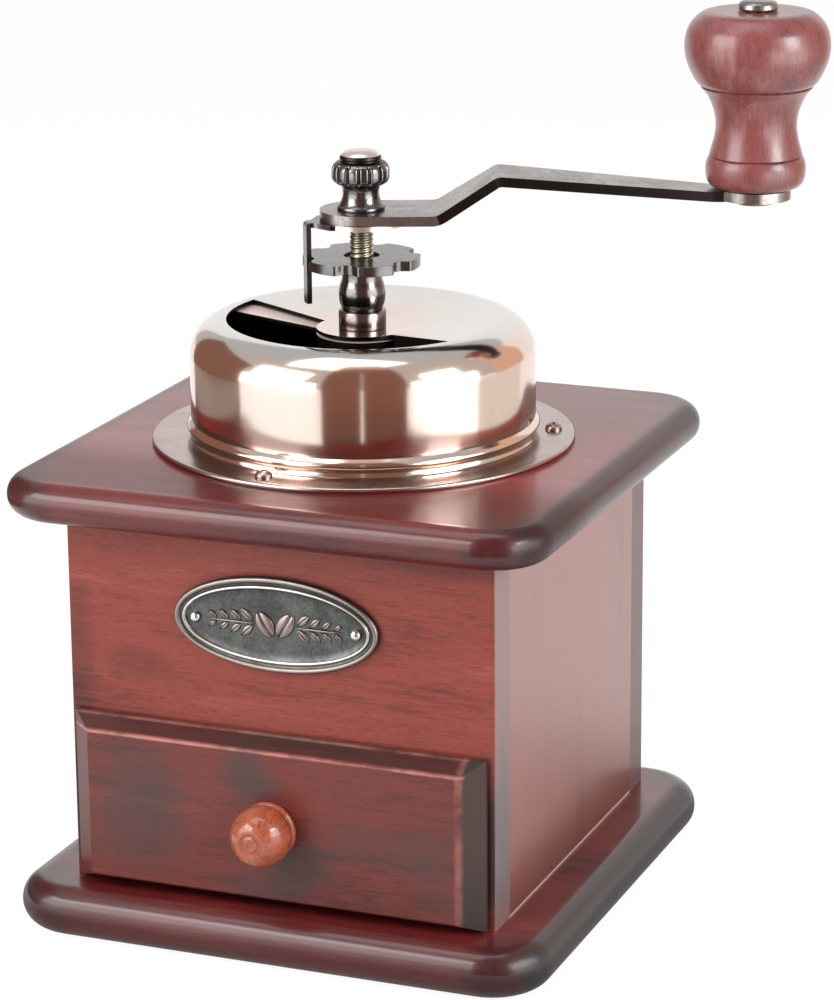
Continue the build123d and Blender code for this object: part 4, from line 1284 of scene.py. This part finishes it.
@dataclass
class Works:
    """Grinding works, shaft and the hardware on it."""

    bush_low: float = 123.5
    bush_land: float = 130.3
    bush_top: float = 134.5
    disc_low: float = 144.4
    disc_thick: float = 2.2
    disc_radius: float = 13.1
    notch_turn: float = 36.7
    notch_radius: float = 2.24
    arm_top: float = 157.05
    thread_radius: float = 2.65
    thread_pitch: float = 1.1
    thread_root: float = 0.32
    thread_rise: float = 0.34
    play: float = 0.05
    knurl_low: float = 5.9
    knurl_high: float = 10.5
    knurl_fade: float = 0.6
    knurl_cut: float = 0.55
    knurls: int = 15
    clip_turn: float = 216.7

    def bush(self) -> bmesh.types.BMesh:
        """Bush through which the shaft leaves the hopper."""
        low, land, top = self.bush_low, self.bush_land, self.bush_top
        profile = [(3.27, low), (4.15, low), (4.2, low + 0.2), (4.2, land), (5.1, land), (5.3, land + 0.2)]
        profile += [(5.3, top - 0.5), (5.1, top - 0.15), (4.8, top), (3.27, top)]
        return lathe(profile, closed=True)

    def adjuster(self) -> bmesh.types.BMesh:
        """Turned neck and the disc with six notches.

        Returns:
            The bmesh.
        """
        low = self.bush_top + 0.1
        bead = [(4.5, low), (4.6, low + 0.35), (5.02, low + 1.4), (5.2, low + 3.3), (5.05, low + 5.0)]
        bead += [(4.68, low + 6.2), (4.5, low + 7.0), (4.5, low + 9.0)]
        bead += [(4.9, self.disc_low), (4.9, self.disc_low + 1)]
        step = self.disc_low + self.disc_thick - 0.6
        bore = self.thread_radius + self.play
        neck = [(bore, low)] + smooth_line(bead) + [(bore, self.disc_low + 1)]
        bm = lathe(neck, closed=True)
        disc = bmesh.new()
        made = bmesh.ops.create_circle(disc, segments=288, radius=self.disc_radius)["verts"]
        for vert in made:
            vert.co *= self.notched(degrees(atan2(vert.co.y, vert.co.x))) / self.disc_radius
        axes = {"use_axis_x": True, "use_axis_y": True, "use_axis_z": True}
        for _ in range(3):
            bmesh.ops.smooth_vert(disc, verts=made, factor=0.5, **axes)
        outer = edges_at(made)
        inner = bmesh.ops.create_circle(disc, segments=288, radius=4.0)["verts"]
        bmesh.ops.bridge_loops(disc, edges=outer + edges_at(inner))
        bmesh.ops.translate(disc, vec=(0, 0, self.disc_low), verts=disc.verts)
        raise_faces(disc, self.disc_thick)
        join(bm, disc)
        inset = [(bore, step), (4.3, step), (4.3, self.disc_low), (bore, self.disc_low)]
        join(bm, lathe(inset, 48, closed=True))
        return bm

    def notched(self, turn: float) -> float:
        """Radius of the notched disc in one direction.

        Args:
            turn: The direction in degrees.

        Returns:
            The radius.
        """
        off = (turn - self.notch_turn + 30) % 60 - 30
        across = self.disc_radius * sin(radians(off))
        if abs(across) >= self.notch_radius:
            return self.disc_radius
        return self.disc_radius * cos(radians(off)) - sqrt(self.notch_radius**2 - across**2)

    def clip(self) -> bmesh.types.BMesh:
        """Lock clip: an eye on the shaft and a tab that hangs into a notch.

        Returns:
            The bmesh.
        """
        top, eye, reach, drop, bend, half = 154.85, 9.7, 12.9, 136.55, 0.9, 1.6
        turns = [radians(i * 5.0) for i in range(29)]
        stations = [(-eye * cos(t), top, eye * sin(t)) for t in turns]
        tail = [(8.6, 6.0), (9.6, 4.3), (10.6, 2.6), (11.2, 1.85), (11.7, half), (reach - bend, half)]
        stations += [(x, top, width) for x, width in tail]
        round_off = (0.4, 0.8, 1.2, pi / 2)
        stations += [(reach - bend + bend * sin(t), top - bend + bend * cos(t), half) for t in round_off]
        stations += [(reach, top - 3.0 - i * (top - 3.0 - drop - 0.5) / 5, half) for i in range(6)]
        stations += [(reach, drop + 0.15, 1.5), (reach, drop, 1.2)]
        bm = strap(stations, 1.1, 6)
        move(bm, Matrix.Rotation(radians(self.clip_turn), 4, "Z"))
        away = Vector((cos(radians(self.clip_turn)), sin(radians(self.clip_turn)), 0))
        # Painted light: faces facing up or away keep the bronze, the shaded faces get the black copy, the
        # eye's rim a pale painted highlight.
        for face in bm.faces:
            spot = face.calc_center_median()
            rim = abs(face.normal.z) < 0.5 and 9.0 < spot.xy.length and spot.xy.dot(away.xy) < 8.0
            bright = face.normal.z > 0.3 or face.normal.dot(away) > 0.7
            face.material_index = 2 if rim else int(not bright)
        return bm

    def thumb_nut(self) -> bmesh.types.BMesh:
        """Waisted thumb nut with a knurled band and a round cap.

        Returns:
            The bmesh.
        """
        base = self.arm_top
        waist = [(5.15, 0.0), (5.3, 0.25), (5.25, 0.75), (4.95, 1.05), (4.5, 1.8), (4.15, 2.8)]
        waist += [(4.05, 3.8), (4.2, 4.8), (4.75, 5.5), (5.6, 5.95), (6.2, 6.55), (6.42, 7.3)]
        waist += [(6.45, 8.4), (6.36, 9.3), (6.0, 10.05), (5.4, 10.55), (4.95, 10.75)]
        cap = [(4.4, 10.9), (4.35, 11.15), (4.65, 11.35), (4.67, 11.6), (4.4, 12.2), (3.7, 12.8)]
        cap += [(2.8, 13.15), (1.4, 13.36)]
        profile = [(0, base)] + [(r, base + z) for r, z in smooth_line(waist) + cap] + [(0, base + 13.4)]
        bm = lathe(profile, 240)
        for vert in bm.verts:
            level = vert.co.z - base
            if self.knurl_low < level < self.knurl_high:
                inside = min(level - self.knurl_low, self.knurl_high - level)
                turn = atan2(vert.co.y, vert.co.x)
                fade = min(1.0, inside / self.knurl_fade)
                cut = self.knurl_cut * fade * max(0.0, cos(self.knurls * turn)) ** 2
                vert.co.xy *= 1 - cut / vert.co.xy.length
        # Painted light: the cap's top gets a pale painted highlight, the knurl's grooves and the ring under
        # the cap a black painted shade.
        for face in bm.faces:
            spot = face.calc_center_median()
            level, radius = spot.z - base, spot.xy.length
            groove = 6.5 < level < 10.0 and radius < 6.12 - 0.06 * abs(level - 8.4)
            face.material_index = 1 if level > 11.9 else 2 if groove or level > 10.4 else 0
        return bm

    def shaft(self) -> bmesh.types.BMesh:
        """Main shaft with the thread that shows between the disc and the clip.

        Returns:
            The bmesh.
        """
        low, high, pitch = 145.6, 154.6, 0.1
        profile = [(0, 57.7), (2.2, 57.7), (2.65, 58.2), (2.65, 63.5), (2.6, 63.5), (2.6, 80.1)]
        profile += [(3.2, 80.1), (3.2, 134.4), (2.6, 134.4), (2.6, low - 0.2)]
        profile += [(2.6, low + pitch * i) for i in range(int((high - low) / pitch) + 1)]
        profile += [(2.6, high + 0.2), (2.6, 168.6), (2.2, 169.0), (0, 169.0)]
        bm = lathe(profile, 48)
        for vert in bm.verts:
            if low <= vert.co.z <= high and vert.co.xy.length > 1:
                phase = (vert.co.z / self.thread_pitch - atan2(vert.co.y, vert.co.x) / (2 * pi)) % 1.0
                rise = 1 - 2 * abs(phase - 0.5)
                radius = self.thread_radius - self.thread_root + self.thread_rise * rise
                vert.co.xy *= radius / vert.co.xy.length
        return bm

    def make(self) -> None:
        """Build the hardware and dress the burrs."""
        bronze = Metal(
            "bronze_dark", (0.225, 0.212, 0.210), (0.050, 0.042, 0.040), rough=0.18, grain=1.2, share=0.45
        ).paint()
        # Painted light: a black copy of the bronze for shaded faces and a pale one for highlights.
        shaded_bronze, pale, warm, brass = (
            Metal(name, base, dirt, rough=rough, share=share).paint()
            for name, base, dirt, rough, share in (
                ("bronze_painted_shade", (0.050, 0.040, 0.038), (0.012, 0.010, 0.010), 0.30, 0.6),
                ("bronze_painted_highlight", (0.95, 0.84, 0.80), (0.60, 0.45, 0.40), 0.30, 0.3),
                ("bronze_warm", (0.33, 0.27, 0.26), (0.10, 0.075, 0.068), 0.18, 0.4),
                ("thread_brass", (0.64, 0.61, 0.45), (0.30, 0.28, 0.19), 0.32, 0.6),
            )
        )
        Piece("hub_bush_turned", Body.CABINET, "bronze_hardware", "hub_bush").place(self.bush(), warm)
        nut = Piece("adjuster_nut_disc", Body.CRANK, "bronze_hardware", "adjuster_nut")
        rounded(nut.place(self.adjuster(), bronze), 0.25)
        clip = Piece("lock_clip_bent", Body.CRANK, "bronze_hardware", "lock_clip")
        rounded(clip.place(self.clip(), bronze, shaded_bronze, pale), 0.15)
        thumb = Piece("thumb_nut_knurled", Body.CRANK, "bronze_hardware", "thumb_nut", 60)
        thumb.place(self.thumb_nut(), bronze, pale, shaded_bronze)
        Piece("main_shaft_threaded", Body.CRANK, "shaft_steel", "main_shaft", 60).place(self.shaft(), brass)
        iron = Metal(
            "grey_iron", (0.050, 0.050, 0.050), (0.018, 0.016, 0.015), rough=0.5, grain=3.0, depth=0.05
        )
        dress(iron.paint(), "burr_housing", "ring_burr", "cone_burr")
        zinc = Metal("zinc_inner", (0.20, 0.20, 0.19), (0.10, 0.10, 0.09))
        dress(zinc.paint(), "shutter_washer", "bush_nut", "burr_washer", "burr_nut", "burr_spring")


@dataclass
class Crank:
    """Bent crank arm, the pin riveted in its end and the turned grip."""

    turn: float = 21.3
    reach: float = 87.0
    inner_top: float = 157.05
    bend_top: float = 165.45
    outer_top: float = 161.15
    thick: float = 2.2
    eye: float = 9.2
    end: float = 7.9
    after_bend: float = 7.5
    before_end: float = 4.7
    bend_start: float = 16.7
    bend_end: float = 30.1
    level_start: float = 77.6
    grip_low: float = 161.45
    grip_high: float = 200.45

    def along(self, table: Profile, x: float) -> float:
        """Value at a place along the arm, from a table of straight runs.

        Args:
            table: Place and value at each corner.
            x: The place.

        Returns:
            The value.
        """
        for (start, low), (end, high) in zip(table, table[1:]):
            if x <= end:
                return low + (high - low) * max(0.0, x - start) / (end - start)
        return table[-1][1]

    def half_width(self, x: float) -> float:
        """Half width of the arm at a place along it.

        Args:
            x: The place.

        Returns:
            Half the width.
        """
        table = [(0, self.eye), (self.bend_start, self.eye), (self.bend_end, self.after_bend)]
        table += [(self.level_start, self.before_end), (100, self.before_end)]
        width = self.along(table, x)
        if x < 0:
            width = sqrt(max(0.0, self.eye**2 - x**2))
        off = x - self.reach
        if off > -self.end:
            ball = sqrt(max(0.0, self.end**2 - off**2))
            width = ball if off > 0 else max(width, ball)
        return width

    def level(self, x: float) -> float:
        """Height of the arm's upper face at a place along it, with a small round at each bend."""
        table = [(-20, self.inner_top), (self.bend_start, self.inner_top), (self.bend_end, self.bend_top)]
        table += [(self.level_start, self.outer_top), (120, self.outer_top)]
        return sum(self.along(table, x + step * 0.25) for step in range(-4, 5)) / 9

    def arm(self) -> bmesh.types.BMesh:
        """Flat tapered bar with a double bend.

        Returns:
            The bmesh.
        """
        places = [-self.eye * cos(radians(i * 5)) for i in range(19)]
        places += [1.5 * i for i in range(1, 11)]
        for middle in (self.bend_start, self.bend_end, self.level_start):
            places += [middle + 0.3 * i for i in range(-5, 6)]
        places += [20.0, 22.5, 25.0, 27.0, *(33.0 + 3.5 * i for i in range(13))]
        places += [79.8, 80.65, 81.2, 82.0, 83.0, 84.6]
        places += [self.reach + self.end * sin(radians(i * 6)) for i in range(16)]
        stations = [(x, self.level(x), self.half_width(x)) for x in sorted(places)]
        bm = strap(stations, self.thick, 8)
        # Painted light: the upper faces and the sides of the outer ends keep the bronze, the other faces get
        # a black shaded copy.
        for face in bm.faces:
            place = face.calc_center_median().x
            outer = place < self.bend_start + 0.3 or place > self.level_start + 2.0
            lit_face = face.normal.z > 0.3 or (outer and abs(face.normal.z) < 0.3)
            face.material_index = int(not lit_face)
        turn = Matrix.Rotation(radians(self.turn), 3, "Z")
        bmesh.ops.rotate(bm, cent=(0, 0, 0), matrix=turn, verts=bm.verts)
        return bm

    def outer(self) -> tuple[float, float, float]:
        """Place of the grip's axis."""
        return (self.reach * cos(radians(self.turn)), self.reach * sin(radians(self.turn)), 0.0)

    def grip(self) -> bmesh.types.BMesh:
        """Turned grip: foot bead, groove, waist, groove and round head.

        Returns:
            The bmesh.
        """
        foot = [(7.7, 0.0), (9.3, 0.25), (10.3, 1.0), (10.85, 2.2), (11.05, 4.0), (10.95, 5.4)]
        foot += [(10.6, 6.4), (10.4, 6.8)]
        waist = [(10.3, 7.3), (9.9, 8.6), (9.3, 10.9), (8.93, 13.4), (9.1, 15.8), (9.75, 18.2)]
        waist += [(10.9, 20.6), (12.3, 22.3)]
        head = [(12.65, 22.9), (13.5, 23.8), (14.6, 25.8), (15.6, 28.4), (16.0, 31.0), (15.8, 33.4)]
        head += [(15.15, 35.5), (13.9, 37.2), (12.3, 38.5), (10.6, 38.95), (9.0, 39.0)]
        profile = [(2.6, 0.0), *smooth_line(foot), (9.95, 7.02), *smooth_line(waist, 5), (11.95, 22.6)]
        profile += [*smooth_line(head, 5), (2.6, 39.0)]
        bm = lathe([(r, self.grip_low + z) for r, z in profile], 128, closed=True)
        bmesh.ops.translate(bm, vec=self.outer(), verts=bm.verts)
        return bm

    def pin(self) -> bmesh.types.BMesh:
        """Pin with a round head above the grip and a rivet head under the arm.

        Returns:
            The bmesh.
        """
        under = self.outer_top - self.thick
        top = self.grip_high + 0.3
        profile = [(0, under - 1.2), (4.0, under - 1.2), (4.9, under - 0.9), (5.3, under - 0.4)]
        profile += [(5.3, under), (2.5, under), (2.5, top), (4.2, top), (4.4, top + 0.3), (4.3, top + 1.1)]
        profile += [(3.9, top + 1.6), (3.0, top + 1.92), (0, top + 2.0)]
        bm = lathe(profile, 64)
        bmesh.ops.translate(bm, vec=self.outer(), verts=bm.verts)
        return bm

    def make(self) -> None:
        """Build the arm, pin and grip."""
        bronze = Metal(
            "arm_bronze", (0.44, 0.385, 0.365), (0.10, 0.078, 0.070), rough=0.27, grain=1.6, share=0.6
        ).paint()
        # Painted shade: a black copy of the bronze for the arm's shaded faces.
        edge = Metal("arm_painted_shade", (0.045, 0.036, 0.034), (0.012, 0.010, 0.010), rough=0.28, share=0.6)
        arm = Piece("crank_arm_bent", Body.CRANK, "bronze_hardware", "crank_arm")
        rounded(arm.place(self.arm(), bronze, edge.paint()), 0.6, 3)
        Piece("handle_pin_riveted", Body.CRANK, "bronze_hardware", "handle_pin").place(self.pin(), bronze)
        wood = StainedWood(
            "grip_stain",
            Grain.UPRIGHT,
            dark=(0.050, 0.009, 0.012),
            middle=(0.215, 0.050, 0.047),
            light=(0.36, 0.135, 0.120),
            figure=0.12,
            cloud=0.075,
            coat=1.0,
            coat_rough=0.27,
            rough=0.42,
            seed=6.2,
        )
        grip = Piece("handle_grip_turned", Body.GRIP, "grip_wood", "handle_grip", 50)
        grip.place(self.grip(), wood.paint())


# ----------------------------------------------------------------------- studio


@dataclass
class Studio:
    """Camera, lamps, the cards that only show in reflections, the pale floor and the sky."""

    azimuth: float = 21.74
    elevation: float = 16.29
    roll: float = -0.474
    distance: float = 848.83
    aim_height: float = 89.82
    aim_right: float = 11.83
    lens: float = 135.12

    def direction(self, azimuth: float, elevation: float) -> Vector:
        """Unit vector from the mill towards a place round it.

        Args:
            azimuth: 0 is in front, positive to the right, in degrees.
            elevation: Above the horizon, in degrees.

        Returns:
            The vector.
        """
        a, e = radians(azimuth), radians(elevation)
        return Vector((sin(a) * cos(e), -cos(a) * cos(e), sin(e)))

    def camera(self) -> None:
        """Make the camera."""
        back = self.direction(self.azimuth, self.elevation)
        a, t = radians(self.azimuth), radians(self.roll)
        right = Vector((cos(a), sin(a), 0))
        up = back.cross(right)
        side = right * cos(t) + up * sin(t)
        rise = up * cos(t) - right * sin(t)
        data = bpy.data.cameras.new("camera")
        data.lens = self.lens
        data.sensor_width = 36.0
        data.clip_start, data.clip_end = 0.01, 50.0
        cam = bpy.data.objects.new("camera", data)
        spot = (Vector((0, 0, self.aim_height)) + right * self.aim_right + back * self.distance) * MM
        rows = [(side[i], rise[i], back[i], spot[i]) for i in range(3)]
        cam.matrix_world = Matrix((*rows, (0, 0, 0, 1)))
        bpy.context.scene.collection.objects.link(cam)
        bpy.context.scene.camera = cam

    def softbox(
        self, name: str, azimuth: float, elevation: float, size: tuple[float, float], power: float
    ) -> None:
        """Hang a rectangular lamp that faces the mill.

        Args:
            name: Its name.
            azimuth: Where it hangs, in degrees.
            elevation: How high, in degrees.
            size: Width and height in metres.
            power: Power in watts.
        """
        data = bpy.data.lights.new(name, "AREA")
        data.shape = "RECTANGLE"
        data.size, data.size_y = size
        data.energy = power
        lamp = bpy.data.objects.new(name, data)
        towards = self.direction(azimuth, elevation)
        lamp.location = LAMP_AIM + towards * LAMP_REACH
        lamp.rotation_mode = "QUATERNION"
        lamp.rotation_quaternion = towards.to_track_quat("Z", "Y")
        bpy.context.scene.collection.objects.link(lamp)

    def stand(self, name: str, bm: bmesh.types.BMesh, tree: Tree, mirrored: bool = False) -> None:
        """Put a stage mesh into the scene.

        Args:
            name: Its name.
            bm: The shape in metres, which is freed.
            tree: Tree of its material.
            mirrored: True if it only shows in reflections.
        """
        mesh = bpy.data.meshes.new(name)
        bm.to_mesh(mesh)
        bm.free()
        mesh.materials.append(tree.owner)
        obj = bpy.data.objects.new(name, mesh)
        if mirrored:
            obj.visible_camera = obj.visible_diffuse = False
            obj.visible_shadow = obj.visible_transmission = False
        bpy.context.scene.collection.objects.link(obj)

    def card(
        self,
        name: str,
        start: float,
        end: float,
        heights: tuple[float, float],
        far: float,
        shade: Colour,
        top: Colour | None = None,
        fade: tuple[float, float] = (60.0, 95.0),
    ) -> None:
        """Stand an upright card that only shows in reflections.

        Args:
            name: Its name.
            start: Azimuth of its first edge, in degrees.
            end: Azimuth of its last edge.
            heights: Heights of its lower and upper edge in metres.
            far: Distance of its middle from the axis in metres.
            shade: The light it gives.
            top: The light of its upper part, if that differs.
            fade: Heights in millimetres between which the one turns into the other.
        """
        bm = bmesh.new()
        bmesh.ops.create_grid(bm, x_segments=1, y_segments=1, size=0.5)
        low, high = heights
        width = 2 * far * tan(radians((end - start) / 2))
        bmesh.ops.scale(bm, vec=(width, high - low, 1), verts=bm.verts)
        towards = self.direction((start + end) / 2, 0)
        spot = towards * far + Vector((0, 0, (low + high) / 2))
        matrix = Matrix.Translation(spot) @ towards.to_track_quat("Z", "Y").to_matrix().to_4x4()
        move(bm, matrix)
        tree = new_tree(name)
        (depth,) = tree.outputs("ShaderNodeLightPath", "Glossy Depth")
        colour = tree.mix(tree.axes()[2].band(*fade), shade, top or shade)
        colour = tree.mix(depth.band(*DIMMED, 0.0, CARD_LOSS), colour, BLACK)
        tree.end(tree.node("ShaderNodeEmission", inputs={0: colour, 1: 1.0}))
        self.stand(name, bm, tree, mirrored=True)

    def floor(self) -> None:
        """Lay the pale floor, with a painted shadow near the mill that shows in reflections."""
        bm = bmesh.new()
        bmesh.ops.create_grid(bm, x_segments=1, y_segments=1, size=8.0)
        tree = new_tree("floor_white")
        seen, glossy, through, depth = tree.outputs(
            "ShaderNodeLightPath", "Is Camera Ray", "Is Glossy Ray", "Is Transmission Ray", "Glossy Depth"
        )
        x, y, _ = tree.axes()
        # Painted shadow: the floor's glow darkens near the mill.
        near = abs(x).larger(abs(y)).band(*FLOOR_SHADOW)
        bright = near.larger(seen) * depth.band(*DIMMED, 1.0, ROOM_LEFT)
        glow = tree.node("ShaderNodeEmission", inputs={0: tree.mix(bright, BLACK, WHITE), 1: 1.08})
        matt = tree.node("ShaderNodeBsdfDiffuse", inputs={0: (0.86, 0.86, 0.86)})
        share = seen.larger(glossy).larger(through) * 0.85
        tree.end(tree.node("ShaderNodeMixShader", inputs={0: share, 1: matt, 2: glow}))
        self.stand("floor", bm, tree)

    def sky(self) -> None:
        """Set the even white surroundings."""
        world = bpy.data.worlds.new("studio")
        bpy.context.scene.world = world
        tree = Tree(world)
        seen, glossy, depth = tree.outputs(
            "ShaderNodeLightPath", "Is Camera Ray", "Is Glossy Ray", "Glossy Depth"
        )
        strength = (seen * 0.6).larger(glossy * 0.12) + 0.4
        strength = strength * depth.band(*DIMMED, 1.0, ROOM_LEFT)
        tree.end(tree.node("ShaderNodeBackground", inputs={0: WHITE, 1: strength}))

    def make(self) -> None:
        """Set the whole studio."""
        self.camera()
        self.floor()
        self.sky()
        self.softbox("key_left", -38, 27, (0.62, 0.62), 7.5)
        self.softbox("side_right", 77, 22, (0.38, 0.46), 7.0)
        self.softbox("top", -20, 78, (0.7, 0.7), 3.0)
        brown, tawny, umber = (0.120, 0.062, 0.050), (0.235, 0.118, 0.086), (0.08, 0.06, 0.05)
        front, left, white = (CARD_FOOT, 0.42), (-120.0, -61.0), (CARD_FOOT, 0.21)
        near, far = 0.245, 0.30
        cards = [
            ("card_front_left", -3.0, 20.9, front, near, brown, tawny, (48.0, 75.0)),
            ("card_front_right", 22.5, 49.0, front, near, brown, tawny, (48.0, 75.0)),
            ("card_front_high", -3.0, 49.0, (0.42, 1.10), near, tawny, (0.80, 0.66, 0.57), (420.0, 950.0)),
            ("card_left_low", *left, (CARD_FOOT, 0.072), near, umber, (0.36, 0.31, 0.29), (44, 54)),
            ("card_left_high", *left, (0.072, 0.30), near, (0.150, 0.085, 0.062), (0.24, 0.13, 0.10)),
            ("card_white_left", -60.0, -7.0, white, far, (1.15, 1.24, 1.28), (3.0, 3.0, 3.0), (75, 100)),
            ("card_white_right", 53.0, 99.0, white, far, (1.7, 1.7, 1.7), (4.0, 4.0, 4.0), (75, 100)),
            ("card_right", 100.0, 144.0, (CARD_FOOT, 0.098), far, (0.80, 0.76, 0.74)),
            ("card_tan", 114.0, 148.0, (0.10, 0.40), 0.31, (0.72, 0.49, 0.37)),
            ("card_back", 152.0, 224.0, (0.02, 0.72), 0.87, (0.95, 0.95, 0.95)),
        ]
        for card in cards:
            self.card(*card)
        bpy.context.scene.view_settings.view_transform = "Standard"


def main() -> None:
    """Build every sub-assembly in order and set the studio."""
    logging.basicConfig(level=logging.INFO, format="%(name)s %(message)s")
    for part in (Cabinet(), Drawer(), Nameplate(), Hopper(), Works(), Crank(), Studio()):
        part.make()
        LOG.info("%s done", type(part).__name__)


if __name__ == "__main__":
    main()
